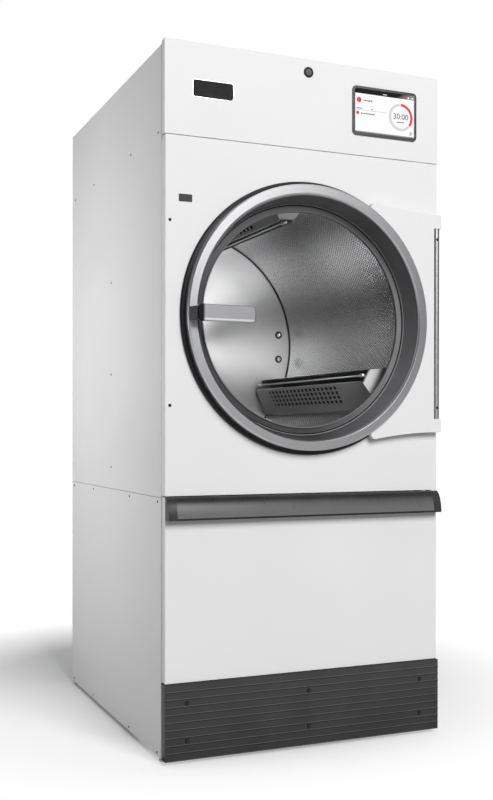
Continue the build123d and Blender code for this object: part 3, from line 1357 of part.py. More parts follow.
# ================================================================ heater and gas train
heater_y = sheet_back - HEATER_D
feed_y = sheet_back - FEED_IN
with BuildPart() as heater_box:
    with BuildSketch(Plane.YZ.offset(-HEATER_W / 2)):
        with BuildLine():
            Polyline((sheet_back, heater_z), (sheet_back, heater_top), (heater_y + HEATER_SLOPE, heater_top),
                     (heater_y, heater_top - HEATER_SLOPE), (heater_y, heater_z), close=True)
        make_face()
    extrude(amount=HEATER_W)
    open_faces = [heater_box.faces().sort_by(Axis.Z)[0], heater_box.faces().sort_by(Axis.Y)[-1]]
    offset(amount=-SHEET, openings=open_faces)
    with BuildSketch(Plane.YZ.offset(-HEATER_W / 2)):
        with Locations((feed_y, gas_z)):
            Circle(GAS_R + PIPE_PLAY)
    extrude(amount=2 * SHEET, mode=Mode.SUBTRACT)
finish(heater_box, "heater_box")

manifold_half = BURNER_PITCH + MANIFOLD_END
manifold_y = sheet_back - MANIFOLD_D
with BuildPart() as burner_tubes:
    block(-manifold_half, manifold_half, manifold_y, sheet_back, gas_z - MANIFOLD_H / 2, gas_z + MANIFOLD_H / 2)
    with BuildSketch(front_plane(manifold_y)):
        with Locations((0, gas_z)):
            with GridLocations(BURNER_PITCH, 1, BURNER_COUNT, 1):
                Circle(BURNER_R)
    extrude(amount=BURNER_L)
finish(burner_tubes, "burner_tubes")

valve_back = sheet_back - VALVE_BACK
with BuildPart() as gas_valve:
    block(gas_x - VALVE_W / 2, gas_x + VALVE_W / 2, valve_back - VALVE_D, valve_back,
          gas_z - VALVE_H / 2, gas_z + VALVE_H / 2)
    chamfer(gas_valve.edges().filter_by(Axis.Y), VALVE_EDGE)
    with Locations((gas_x, valve_back - VALVE_D / 2, gas_z + VALVE_H / 2)):
        Cylinder(SOLENOID_R, SOLENOID_H, align=(Align.CENTER, Align.CENTER, Align.MIN))
finish(gas_valve, "gas_valve")

with BuildPart() as gas_pipe:
    revolve(tube_section(GAS_R - GAS_WALL, GAS_R, valve_back, back_y + GAS_OUT, gas_x, gas_z),
            axis=depth_axis(gas_x, gas_z))
    with BuildSketch(Plane.YZ.offset(gas_x + VALVE_W / 2)):
        with Locations((feed_y, gas_z)):
            Circle(GAS_R - FEED_STEP)
    extrude(amount=-manifold_half - gas_x - VALVE_W / 2)
finish(gas_pipe, "gas_pipe")

with BuildPart() as control_box:
    box_y, box_z = pan_y + CONTROL_BOX_IN, control_low + CONTROL_BOX_RISE
    block(-inner_w, -inner_w + CONTROL_BOX_W, box_y, box_y + CONTROL_BOX_D, box_z, box_z + CONTROL_BOX_H)
    chamfer(control_box.faces().sort_by(Axis.X)[-1].edges(), BOX_EDGE)
finish(control_box, "control_box")

junction_low = junction_z - JUNCTION_W / 2
entry_y = back_y + JUNCTION_D / 2
with BuildPart() as junction_box:
    block(junction_x - JUNCTION_W / 2, junction_x + JUNCTION_W / 2, back_y, back_y + JUNCTION_D,
          junction_low, junction_z + JUNCTION_W / 2)
    chamfer(junction_box.faces().sort_by(Axis.Y)[-1].edges(), BOX_EDGE)
    with BuildSketch(Plane.XY.offset(junction_low)):
        with Locations((junction_x, entry_y)):
            Circle(SUPPLY_ENTRY_R + ENTRY_WALL)
    extrude(amount=-ENTRY_L)
    with BuildSketch(Plane.XY.offset(junction_low - ENTRY_L)):
        with Locations((junction_x, entry_y)):
            Circle(SUPPLY_ENTRY_R)
    extrude(amount=ENTRY_D, mode=Mode.SUBTRACT)
finish(junction_box, "junction_box")
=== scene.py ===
"""Looks of a commercial tumble dryer, laid out as an add-on and run as a script.

Frame: metres, x across the front, y into the depth with the front at -y, z up from the floor.
"""

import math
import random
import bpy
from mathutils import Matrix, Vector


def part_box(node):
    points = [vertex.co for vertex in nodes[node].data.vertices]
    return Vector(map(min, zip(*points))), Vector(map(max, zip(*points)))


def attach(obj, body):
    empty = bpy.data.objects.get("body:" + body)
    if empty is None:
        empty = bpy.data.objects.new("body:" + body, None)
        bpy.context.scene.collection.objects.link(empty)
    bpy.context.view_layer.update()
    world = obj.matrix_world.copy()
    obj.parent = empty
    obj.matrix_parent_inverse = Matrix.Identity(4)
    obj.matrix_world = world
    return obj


bl_info = {
    "name": "Tumble Dryer Looks",
    "version": (1, 0, 0),
    "blender": (4, 5, 0),
    "location": "View3D > Sidebar > Dryer",
    "description": "Builds finishes, trim, display and studio for a commercial tumble dryer",
    "category": "Object",
}

import bmesh
import bpy
from bpy.props import FloatProperty, FloatVectorProperty, PointerProperty, StringProperty
from mathutils import Matrix, Vector

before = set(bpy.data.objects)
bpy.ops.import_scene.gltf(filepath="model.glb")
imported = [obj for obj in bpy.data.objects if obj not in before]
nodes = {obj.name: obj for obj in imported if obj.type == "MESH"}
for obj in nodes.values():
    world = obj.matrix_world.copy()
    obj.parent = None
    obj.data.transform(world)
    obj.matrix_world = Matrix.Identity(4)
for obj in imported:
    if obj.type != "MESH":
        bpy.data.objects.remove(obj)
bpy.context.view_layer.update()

# ---- places read from the frame
FRONT_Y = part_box("front_panel")[0].y
HALF_W = -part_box("side_panel_left_upper")[0].x
drum_low, drum_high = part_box("drum_shell")
DOOR_Z = (drum_low.z + drum_high.z) / 2
DRUM_R = (drum_high.x - drum_low.x) / 2
PLATE_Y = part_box("drum_back")[0].y
FLOOR_Z = 0.0
# lean of the painted reflection on the display's cover: across, for each metre up
SHEEN_LEAN = 1.6
screen_low, screen_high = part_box("display_screen")
SHEEN_START = screen_high.x - 0.045 - SHEEN_LEAN * screen_high.z

# ---- patterns of the finishes
WHITE = (1.0, 1.0, 1.0)
# the kick plate's ridges part its height into equal steps
KICK_STEPS = 10
# share of the curled lip's height, and the grey there
# the greys are painted light: a painted shadow line at the foot, painted shade at the top, a
# painted reflection down the face
LIP_PAINTED_LIGHT = ((0.0, 0.006), (0.07, 0.008), (0.10, 0.15), (0.35, 0.13), (0.62, 0.075),
             (0.80, 0.022), (1.0, 0.010))
# pitch of the lint screen's wires, and half the open share between them
WIRE_PITCH, WIRE_GAP = 0.0016, 0.32
# painted highlights in bright sectors on the drum's back plate and in streaks on its wall: how
# many, angle of one
PLATE_PAINTED_SECTORS = (4, math.radians(70.0))
WALL_PAINTED_STREAKS = (8, math.radians(38.0))
# slots of a rib, out from the drum's axis and along the depth: first, last, pitch, open share
RIB_SLOTS = ((DRUM_R - 0.094, DRUM_R - 0.036, 0.0145, 0.66), (-0.25, 0.27, 0.030, 0.52))


# ---- node materials
def add_node(tree, kind, inputs=None, **settings):
    """New node with its settings, and with inputs that are values or other nodes' sockets."""
    made = tree.nodes.new(kind)
    for key, value in settings.items():
        setattr(made, key, value)
    for key, value in (inputs or {}).items():
        if isinstance(value, bpy.types.NodeSocket):
            tree.links.new(value, made.inputs[key])
        else:
            made.inputs[key].default_value = value
    return made


class Finish:
    """A node material while it is being put together."""

    def __init__(self, name, **sockets):
        self.material = bpy.data.materials.new(name)
        self.material.use_nodes = True
        self.tree = self.material.node_tree
        self.shader = self.tree.nodes["Principled BSDF"]
        self.output = self.tree.nodes["Material Output"]
        for socket, value in sockets.items():
            self.shader.inputs[socket.replace("_", " ")].default_value = value

    def node(self, kind, inputs=None, **settings):
        return add_node(self.tree, kind, inputs, **settings)

    def math(self, operation, first, second=0.5):
        return self.node("ShaderNodeMath", {0: first, 1: second}, operation=operation).outputs[0]

    def coords(self):
        """Coordinates of the piece, in metres."""
        return self.node("ShaderNodeTexCoord").outputs["Object"]

    def place(self, scale=(1, 1, 1)):
        """Coordinates of the piece, stretched."""
        return self.node("ShaderNodeMapping", {"Vector": self.coords(), "Scale": scale}).outputs[0]

    def axis(self, name):
        return self.node("ShaderNodeSeparateXYZ", {0: self.coords()}).outputs[name]

    def up(self):
        """Height above the drum's axis."""
        return self.math("SUBTRACT", self.axis("Z"), DOOR_Z)

    def turn(self):
        """Angle about the drum's axis, from the hinge side upward."""
        return self.math("ARCTAN2", self.up(), self.axis("X"))

    def radius(self):
        """Distance from the drum's axis."""
        squares = [self.math("MULTIPLY", side, side) for side in (self.axis("X"), self.up())]
        return self.math("SQRT", self.math("ADD", *squares))

    def sectors(self, count, bright):
        """One at the bright angle, down to zero and back, count times round the drum's axis."""
        turn = self.math("SUBTRACT", self.turn(), bright)
        wave = self.math("COSINE", self.math("MULTIPLY", turn, float(count)))
        return self.spread(wave, 0.0, 1.0, -1.0, 1.0)

    def step(self, value, pitch, start=0.0):
        """How far a value is through its step, 0 to 1, in steps of pitch from start."""
        passed = self.math("SUBTRACT", value, start) if start else value
        return self.math("FRACT", self.math("DIVIDE", passed, pitch), 0.0)

    def near(self, value, middle, reach):
        """One where a value lies within reach of the middle, else zero."""
        apart = self.math("ABSOLUTE", self.math("SUBTRACT", value, middle))
        return self.math("LESS_THAN", apart, reach)

    def noise(self, scale, detail=3.0, stretch=(1, 1, 1), rough=0.5):
        inputs = {"Vector": self.place(stretch), "Scale": scale, "Detail": detail,
                  "Roughness": rough}
        return self.node("ShaderNodeTexNoise", inputs).outputs["Fac"]

    def cloud(self, scale, detail=3.0, stretch=(1, 1, 1)):
        """Noise that uses the whole range from zero to one."""
        return self.spread(self.noise(scale, detail, stretch))

    def spread(self, factor, low=0.0, high=1.0, from_low=0.3, from_high=0.7):
        """Factor carried from one range to another."""
        inputs = {"Value": factor, "From Min": from_low, "From Max": from_high,
                  "To Min": low, "To Max": high}
        return self.node("ShaderNodeMapRange", inputs).outputs[0]

    def blend(self, factor, first, second):
        mixer = self.node("ShaderNodeMix", data_type="RGBA")
        for index, value in ((0, factor), (6, first), (7, second)):
            if isinstance(value, bpy.types.NodeSocket):
                self.tree.links.new(value, mixer.inputs[index])
            else:
                mixer.inputs[index].default_value = value if index == 0 else (*value, 1.0)[:4]
        return mixer.outputs[2]

    def tone(self, factor, colour, low, high):
        """Colour whose gain goes from low to high with the factor."""
        return self.blend(factor, shade(colour, low), shade(colour, high))

    def colour(self, socket):
        self.tree.links.new(socket, self.shader.inputs["Base Color"])

    def rough(self, socket):
        self.tree.links.new(socket, self.shader.inputs["Roughness"])

    def uneven(self, scale, detail, low, high):
        """Roughness that wanders between two values."""
        self.rough(self.spread(self.noise(scale, detail), low, high))

    def bump(self, height, distance, strength=1.0, edge=0.0):
        """Relief, on top of edges rounded by the given radius."""
        inputs = {"Height": height, "Distance": distance, "Strength": strength}
        if edge:
            inputs["Normal"] = self.node("ShaderNodeBevel", {"Radius": edge}, samples=4).outputs[0]
        relief = self.node("ShaderNodeBump", inputs)
        self.tree.links.new(relief.outputs[0], self.shader.inputs["Normal"])

    def pierce(self, hole, sheet, dark, roughness, inside, *relief):
        """Openings in a sheet: dark, rougher and sunk."""
        self.colour(self.blend(hole, sheet, dark))
        self.rough(self.spread(hole, roughness, inside, 0.0, 1.0))
        self.bump(self.math("SUBTRACT", 1.0, hole), *relief)


def shade(colour, gain):
    """Colour made lighter or darker, never past white."""
    return tuple(min(channel * gain, 1.0) for channel in colour[:3])


def enamel(name, colour):
    """Powder-coated sheet: faint orange peel and a slightly uneven tone."""
    made = Finish(name, Specular_IOR_Level=0.22)
    made.colour(made.tone(made.cloud(2.6, 2.0), colour, 0.985, 1.015))
    made.uneven(5.0, 4.0, 0.42, 0.51)
    made.bump(made.noise(1400.0, 1.0), 0.00004, 0.35, 0.0012)
    return made


def charcoal(name, light, dark, low, high):
    """Dark coat with painted shade toward its lower edge; its ridges are a painted highlight and a
    painted shade line.
    """
    made = Finish(name, Specular_IOR_Level=0.2)
    height = made.axis("Z")
    # painted shade: the coat darkens from its upper tone to its lower one toward the foot
    base = made.blend(made.spread(height, 0.0, 1.0, low, high), dark, light)
    coat = made.blend(made.cloud(7.0), base, made.blend(0.012, base, WHITE))
    step = made.step(height, (high - low) / KICK_STEPS, low)
    # ridges drawn in painted light: a painted highlight along each crest, a painted shade line at
    # each foot
    ridge_highlight_at, ridge_highlight_reach, ridge_shade_from = 0.085, 0.03, 0.915
    crest = made.math("MULTIPLY", made.near(step, ridge_highlight_at, ridge_highlight_reach), 0.07)
    foot = made.math("MULTIPLY", made.math("GREATER_THAN", step, ridge_shade_from), 0.5)
    made.colour(made.blend(foot, made.blend(crest, coat, WHITE), (0.004, 0.004, 0.004)))
    made.uneven(12.0, 3.0, 0.40, 0.51)
    made.bump(made.noise(500.0, 1.0), 0.00003, 0.3, 0.0008)
    return made


def lip_coat(name, low, high):
    """Glossy dark coat of a curled lip: painted shade, black at the foot and the top, and a painted
    reflection lighter down the face.
    """
    made = Finish(name, Specular_IOR_Level=0.35)
    height = made.spread(made.axis("Z"), 0.0, 1.0, low, high)
    ramp = made.node("ShaderNodeValToRGB", {"Fac": height})
    while len(ramp.color_ramp.elements) < len(LIP_PAINTED_LIGHT):
        ramp.color_ramp.elements.new(0.5)
    for element, (place, tone) in zip(ramp.color_ramp.elements, LIP_PAINTED_LIGHT):
        element.position = place
        element.color = (tone, tone, tone * 1.03, 1.0)
    cloud = made.math("MULTIPLY", made.cloud(9.0), 0.06)
    made.colour(made.blend(cloud, ramp.outputs[0], (0.2, 0.2, 0.2)))
    made.uneven(30.0, 3.0, 0.26, 0.35)
    made.bump(made.noise(700.0, 1.0), 0.00002, 0.3, 0.0008)
    return made


def brushed(name, colour, roughness, grain=(1, 1, 1), edge=0.0008, turning=False, contrast=0.06):
    """Metal with fine parallel grain, or grain that runs round the door's axis."""
    made = Finish(name, Metallic=1.0)
    if turning:
        ring = made.node("ShaderNodeCombineXYZ", {
            0: made.math("MULTIPLY", made.radius(), 1500.0),
            1: made.math("MULTIPLY", made.turn(), 1.5),
            2: made.axis("Y")})
        streaks = made.node("ShaderNodeTexNoise", {
            "Vector": ring.outputs[0], "Scale": 1.0, "Detail": 3.0}).outputs["Fac"]
    else:
        streaks = made.noise(60.0, 4.0, grain)
    made.colour(made.tone(made.spread(streaks), colour, 1 - contrast, 1 + contrast))
    made.rough(made.spread(streaks, roughness - contrast, roughness + contrast))
    made.bump(streaks, 0.000001, 0.03, edge)
    return made


def moulded(name, colour, roughness=0.5, grain=700.0, depth=0.00006):
    """Plastic or rubber with a fine moulded grain."""
    made = Finish(name, Specular_IOR_Level=0.22)
    made.colour(made.tone(made.cloud(9.0), colour, 0.9, 1.12))
    made.uneven(60.0, 3.0, roughness - 0.06, roughness + 0.06)
    made.bump(made.noise(grain, 2.0), depth, 0.5, 0.0006)
    return made


def glossy(name, colour, roughness):
    """Plastic or rubber with hardly any grain."""
    return moulded(name, colour, roughness, 900.0, 0.00001)


def painted_light_moulding(name, colour, gain, grain):
    """Moulding or rubber with painted light, drawn lighter above and on the hinge side."""
    made = Finish(name, Specular_IOR_Level=0.22)
    cloud = made.cloud(9.0)
    plain = made.tone(cloud, colour, 0.9, 1.12)
    # lit copy of the colour, for the painted light
    lit = made.tone(cloud, colour, 0.9 * gain, 1.12 * gain)
    side = made.spread(made.axis("X"), 0.0, 1.0, 0.02, 0.30)
    above = made.spread(made.axis("Z"), 0.0, 0.8, DOOR_Z + 0.08, DOOR_Z + 0.32)
    made.colour(made.blend(made.math("MAXIMUM", side, above), plain, lit))
    made.uneven(60.0, 3.0, 0.36, 0.46)
    made.bump(made.noise(grain, 2.0), 0.00002, 0.5, 0.001)
    return made


def galvanised(name):
    """Zinc-coated sheet with its patchwork of crystals."""
    made = Finish(name, Metallic=0.85)
    inputs = {"Vector": made.place(), "Scale": 90.0, "Randomness": 1.0}
    cells = made.node("ShaderNodeTexVoronoi", inputs)
    crystal = made.spread(cells.outputs["Color"], 0.0, 1.0, 0.0, 1.0)
    made.colour(made.tone(crystal, (0.55, 0.57, 0.58), 0.86, 1.14))
    made.rough(made.spread(crystal, 0.38, 0.56, 0.0, 1.0))
    made.bump(made.noise(300.0, 3.0), 0.00005, 0.3, 0.0006)
    return made


def machined(name, colour=(0.5, 0.5, 0.51), roughness=0.3):
    """Turned steel with fine marks across its length."""
    made = Finish(name, Metallic=1.0)
    marks = made.noise(30.0, 4.0, (1, 40, 1))
    made.colour(made.tone(made.spread(marks), colour, 0.85, 1.1))
    made.rough(made.spread(marks, roughness - 0.06, roughness + 0.1))
    made.bump(marks, 0.00004, 0.3, 0.0004)
    return made


def satin(name, colour, roughness, metal=0.95, sectors=None):
    """Smooth steel sheet with a faint uneven polish, or a disc with painted highlights in bright
    sectors.
    """
    made = Finish(name, Metallic=metal)
    sheet = made.tone(made.cloud(4.0), colour, 0.97, 1.03)
    if sectors:
        # painted highlights: bright sectors round the disc, faded out toward its middle
        sweep = made.tone(made.sectors(*sectors), colour, 0.40, 1.42)
        outward = made.spread(made.radius(), 0.0, 0.92, 0.0, 0.12)
        sheet = made.blend(outward, sheet, sweep)
    made.colour(sheet)
    made.uneven(60.0, 2.0, roughness - 0.02, roughness + 0.02)
    made.bump(made.noise(90.0, 2.0), 0.000005, 0.1, 0.0008)
    return made


def cast(name, colour=(0.16, 0.17, 0.18)):
    """Painted sand casting."""
    made = Finish(name, Roughness=0.55)
    made.colour(made.tone(made.cloud(25.0, 4.0), colour, 0.8, 1.2))
    made.uneven(90.0, 3.0, 0.45, 0.65)
    made.bump(made.noise(260.0, 4.0), 0.0004, 0.6, 0.001)
    return made


def felt(name):
    """Pressed wool: mottled, soft and slightly furry."""
    made = Finish(name, Sheen_Weight=0.4, Sheen_Roughness=0.5)
    fibres = made.noise(500.0, 6.0, rough=0.7)
    made.colour(made.tone(made.spread(fibres), (0.55, 0.52, 0.46), 0.75, 1.15))
    made.rough(made.spread(fibres, 0.85, 1.0))
    made.bump(fibres, 0.0008, 0.7)
    return made


def mesh_screen(name):
    """Woven wire: a fine square lattice of light wires over dark gaps."""
    made = Finish(name, Metallic=0.9)
    gaps = [made.near(made.step(made.axis(axis), WIRE_PITCH), 0.5, WIRE_GAP) for axis in "XY"]
    hole = made.math("MULTIPLY", *gaps)
    made.pierce(hole, (0.5, 0.5, 0.5), (0.03, 0.03, 0.03), 0.4, 0.9, 0.0003, 0.8)
    return made


def perforated(name, colour, pitch, hole_share, roughness):
    """Drum wall: bright sheet with staggered round holes on the unrolled cylinder, and painted
    highlights in streaks along its length."""
    made = Finish(name, Metallic=0.92)
    along = made.math("MULTIPLY", made.turn(), DRUM_R)
    depth = made.axis("Y")
    distances = []
    for shift in (0.0, 0.5):
        parts = []
        for value, step in ((along, pitch), (depth, pitch * math.sqrt(3))):
            rows = made.math("ADD", made.math("DIVIDE", value, step), shift)
            cell = made.math("FRACT", rows, 0.0)
            offset = made.math("MULTIPLY", made.math("SUBTRACT", cell, 0.5), step / pitch)
            parts.append(made.math("MULTIPLY", offset, offset))
        distances.append(made.math("SQRT", made.math("ADD", *parts)))
    nearest = made.math("MINIMUM", *distances)
    hole = made.spread(nearest, 1.0, 0.0, hole_share * 0.86, hole_share * 1.14)
    # painted highlights in streaks along the wall
    painted_highlight_streaks = made.tone(made.sectors(*WALL_PAINTED_STREAKS), colour, 0.60, 2.4)
    cloud = made.math("MULTIPLY", made.cloud(3.0), 0.12)
    sheet = made.blend(cloud, painted_highlight_streaks, shade(colour, 0.8))
    made.pierce(hole, sheet, (0.04, 0.04, 0.042), roughness, 0.6, 0.0004, 0.4)
    return made


def slotted(name, colour, roughness):
    """Rib sheet with rows of short slots in the middle of its flanks, and painted shade darkening
    its near tip.
    """
    made = Finish(name, Metallic=0.7)
    depth = made.axis("Y")
    inside = []
    for value, (low, high, pitch, share) in zip((made.radius(), depth), RIB_SLOTS):
        inside += [made.math("LESS_THAN", made.step(value, pitch, low), share),
                   made.math("GREATER_THAN", value, low), made.math("LESS_THAN", value, high)]
    slot = inside[0]
    for factor in inside[1:]:
        slot = made.math("MULTIPLY", slot, factor)
    sheet = made.tone(made.cloud(45.0, 4.0, (30, 1, 30)), colour, 0.94, 1.06)
    near_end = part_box("drum_ribs")[0].y
    # painted shade on the rib's near tip
    painted_shade_tip = made.spread(depth, 1.0, 0.0, near_end + 0.022, near_end + 0.028)
    sheet = made.blend(painted_shade_tip, sheet, shade(colour, 0.32))
    made.pierce(slot, sheet, (0.012, 0.012, 0.013), roughness, 0.9, 0.0010, 0.7, 0.002)
    return made


def window_glass(name):
    """Clear toughened glass: see-through, with reflections that grow toward grazing view."""
    made = Finish(name, Base_Color=(0.02, 0.022, 0.022, 1.0), Specular_IOR_Level=0.5)
    rim = made.node("ShaderNodeFresnel", {"IOR": 1.5}).outputs[0]
    smear = made.spread(made.noise(14.0, 3.0), 0.0, 0.008)
    veil = made.math("ADD", made.math("MULTIPLY", rim, 0.35), made.math("ADD", smear, 0.006))
    made.tree.links.new(veil, made.shader.inputs["Alpha"])
    made.uneven(30.0, 3.0, 0.02, 0.05)
    return made


def lit_ink(name, colour, glow):
    """Display element: its own colour with a little light of its own."""
    made = Finish(name, Emission_Strength=glow)
    tone = made.tone(made.cloud(2500.0, 1.0), colour, 0.97, 1.03)
    made.colour(tone)
    made.tree.links.new(tone, made.shader.inputs["Emission Color"])
    made.uneven(20.0, 2.0, 0.25, 0.35)
    return made


def black_glass(name):
    """Glossy cover of the display, with a painted reflection: a paler sheen toward one corner."""
    made = Finish(name, Specular_IOR_Level=0.25)
    lean = made.math("MULTIPLY", made.axis("Z"), SHEEN_LEAN)
    slant = made.math("SUBTRACT", made.axis("X"), lean)
    # painted reflection toward one corner
    sheen = made.spread(slant, 0.0, 1.0, SHEEN_START, SHEEN_START + 0.05)
    cloud = made.spread(made.noise(8.0, 2.0), 0.8, 1.2)
    pale = made.math("MULTIPLY", sheen, cloud)
    made.colour(made.blend(pale, (0.012, 0.012, 0.014), (0.30, 0.30, 0.31)))
    made.uneven(25.0, 3.0, 0.1, 0.2)
    made.bump(made.noise(400.0, 1.0), 0.00001, 0.1, 0.0005)
    return made


def wear(finish, *names):
    """Give CAD nodes their finish."""
    for name in names:
        slots = nodes[name].material_slots
        if not slots:
            nodes[name].data.materials.append(finish.material)
        for place in slots:
            place.material = finish.material


# ---- mesh helpers
def link(name, shape, finish, body, smooth=True):
    """Put a mesh, or one being edited, into the scene as a piece that rides on a body."""
    mesh = mesh_from(shape, name) if isinstance(shape, bmesh.types.BMesh) else shape
    piece = bpy.data.objects.new(name, mesh)
    bpy.context.scene.collection.objects.link(piece)
    mesh.materials.append(finish.material)
    if smooth:
        mesh.shade_smooth()
        mesh.set_sharp_from_angle(angle=math.radians(32))
    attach(piece, body)


def on_circle(radius, turn):
    return radius * math.cos(turn), radius * math.sin(turn)


def lathe(bm, profile, centre, steps, axis="Y"):
    """Turn (radius, along) points about an axis X or Y through centre into rings of faces."""
    rings = []
    for radius, along in profile:
        ring = []
        for n in range(1 if radius < 1e-7 else steps):
            a, b = on_circle(radius, 2 * math.pi * n / steps)
            where = (along, a, b) if axis == "X" else (a, along, b)
            ring.append(bm.verts.new(Vector(centre) + Vector(where)))
        rings.append(ring)
    for first, second in zip(rings, rings[1:]):
        for n in range(steps):
            m = (n + 1) % steps
            corners = list(dict.fromkeys((
                first[n % len(first)], first[m % len(first)],
                second[m % len(second)], second[n % len(second)])))
            if len(corners) > 2:
                bm.faces.new(corners)


def rounded_outline(width, height, radius, steps=6):
    """Corner points of a rectangle with round corners, in its own plane."""
    points = []
    for sx, sz, start in ((1, 1, 0), (-1, 1, 90), (-1, -1, 180), (1, -1, 270)):
        for n in range(steps + 1):
            dx, dz = on_circle(radius, math.radians(start + 90 * n / steps))
            points.append((sx * (width / 2 - radius) + dx, sz * (height / 2 - radius) + dz))
    return points


def front_plate(bm, outline, centre, y_back, y_front, bevel=0.0):
    """Flat plate seen from the front, with a small bevel round its face."""
    cx, cz = centre
    back = [bm.verts.new((cx + x, y_back, cz + z)) for x, z in outline]
    edge = [bm.verts.new((cx + x, y_front + bevel, cz + z)) for x, z in outline]
    loops = [back, edge]
    if bevel:
        (left, right), (foot, top) = ((min(side), max(side)) for side in zip(*outline))
        mid_x, mid_z = (right + left) / 2, (top + foot) / 2
        grow_x, grow_z = 1 - 2 * bevel / (right - left), 1 - 2 * bevel / (top - foot)
        loops.append([bm.verts.new((cx + mid_x + (x - mid_x) * grow_x, y_front,
                                    cz + mid_z + (z - mid_z) * grow_z)) for x, z in outline])
    for low, high in zip(loops, loops[1:]):
        for n in range(len(outline)):
            m = (n + 1) % len(outline)
            bm.faces.new((low[n], low[m], high[m], high[n]))
    bm.faces.new(loops[-1])
    bm.faces.new(list(reversed(back)))


def mesh_from(bm, name):
    mesh = bpy.data.meshes.new(name)
    bmesh.ops.recalc_face_normals(bm, faces=bm.faces)
    bm.to_mesh(mesh)
    bm.free()
    return mesh


def bead_ring(name, radius, depth, section, finish, body):
    """Closed ring about the door's axis; its section's points are (out, toward the front)."""
    profile = [(radius + out, depth - ahead) for out, ahead in section]
    bm = bmesh.new()
    lathe(bm, profile + profile[:1], (0, 0, DOOR_Z), 144)
    bmesh.ops.remove_doubles(bm, verts=bm.verts, dist=1e-6)
    link(name, bm, finish, body)


def ring_outline(outer, inner, start, stop, steps):
    """Closed outline of an arc band; angles run clockwise from twelve o'clock."""
    points = []
    for radius, order in ((outer, range(steps + 1)), (inner, range(steps, -1, -1))):
        for n in order:
            turn = 90 - (start + (stop - start) * n / steps)
            points.append(on_circle(radius, math.radians(turn)))
    return points


# ---- settings
class DryerCabinetLook(bpy.types.PropertyGroup):
    """Colours and small hardware of the cabinet."""

    enamel: FloatVectorProperty(
        name="Enamel", description="Colour of the painted sheets",
        subtype="COLOR", default=(0.80, 0.80, 0.805), min=0.0, max=1.0)
    # the kick plate's coat runs from the upper tone down to the lower one: painted shade toward the
    # floor
    charcoal_light: FloatVectorProperty(
        name="Charcoal, upper", description="Dark coat near the top of a part",
        subtype="COLOR", default=(0.045, 0.045, 0.047), min=0.0, max=1.0)
    charcoal_dark: FloatVectorProperty(
        name="Charcoal, lower", description="Dark coat near the foot of a part",
        subtype="COLOR", default=(0.026, 0.026, 0.028), min=0.0, max=1.0)
    screw_radius: FloatProperty(
        name="Screw head", description="Radius of the side screws' heads",
        default=0.0036, min=0.001, max=0.01, unit="LENGTH")
    screw_height: FloatProperty(
        name="Screw height", description="How far the heads stand out",
        default=0.0016, min=0.0005, max=0.005, unit="LENGTH")
    badge_width: FloatProperty(
        name="Badge width", description="Width of the bare plate",
        default=0.121, min=0.02, max=0.3, unit="LENGTH")
    badge_height: FloatProperty(
        name="Badge height", description="Height of the bare plate",
        default=0.050, min=0.01, max=0.2, unit="LENGTH")
    badge_x: FloatProperty(
        name="Badge place across", description="Middle of the plate from the cabinet's middle",
        default=-0.2905, unit="LENGTH")
    badge_z: FloatProperty(
        name="Badge place up", description="Middle of the plate above the floor",
        default=1.835, unit="LENGTH")


class DryerDoorLook(bpy.types.PropertyGroup):
    """Metals of the door and the drum."""

    aluminium: FloatVectorProperty(
        name="Door metal", description="Colour of the door ring and the grip",
        subtype="COLOR", default=(0.45, 0.45, 0.465), min=0.0, max=1.0)
    steel: FloatVectorProperty(
        name="Drum steel", description="Colour of the drum",
        subtype="COLOR", default=(0.60, 0.60, 0.605), min=0.0, max=1.0)
    moulding: FloatVectorProperty(
        name="Door moulding", description="Colour of the dark cone inside the ring",
        subtype="COLOR", default=(0.055, 0.055, 0.057), min=0.0, max=1.0)
    hole_pitch: FloatProperty(
        name="Hole pitch", description="Distance between holes of the drum wall",
        default=0.0095, min=0.002, max=0.03, unit="LENGTH")
    hole_share: FloatProperty(
        name="Hole size", description="Hole radius as a share of the pitch",
        default=0.25, min=0.05, max=0.45)


class DryerDisplayLook(bpy.types.PropertyGroup):
    """Layout of the touch display."""

    page: FloatVectorProperty(
        name="Page", description="Background colour of the page",
        subtype="COLOR", default=(0.80, 0.80, 0.81), min=0.0, max=1.0)
    accent: FloatVectorProperty(
        name="Accent", description="Colour of the discs and of the gauge's filled part",
        subtype="COLOR", default=(0.62, 0.025, 0.03), min=0.0, max=1.0)
    reading: StringProperty(
        name="Reading", description="Digits in the middle of the gauge", default="30:00")
    gauge_start: FloatProperty(
        name="Gauge start", description="Where the filled part starts, clockwise from the top",
        default=0.0)
    gauge_fill: FloatProperty(
        name="Gauge fill", description="Filled part of the gauge, in degrees",
        default=128.0, min=0.0, max=360.0)
    centre_x: FloatProperty(
        name="Display across", description="Middle of the display", default=0.248, unit="LENGTH")


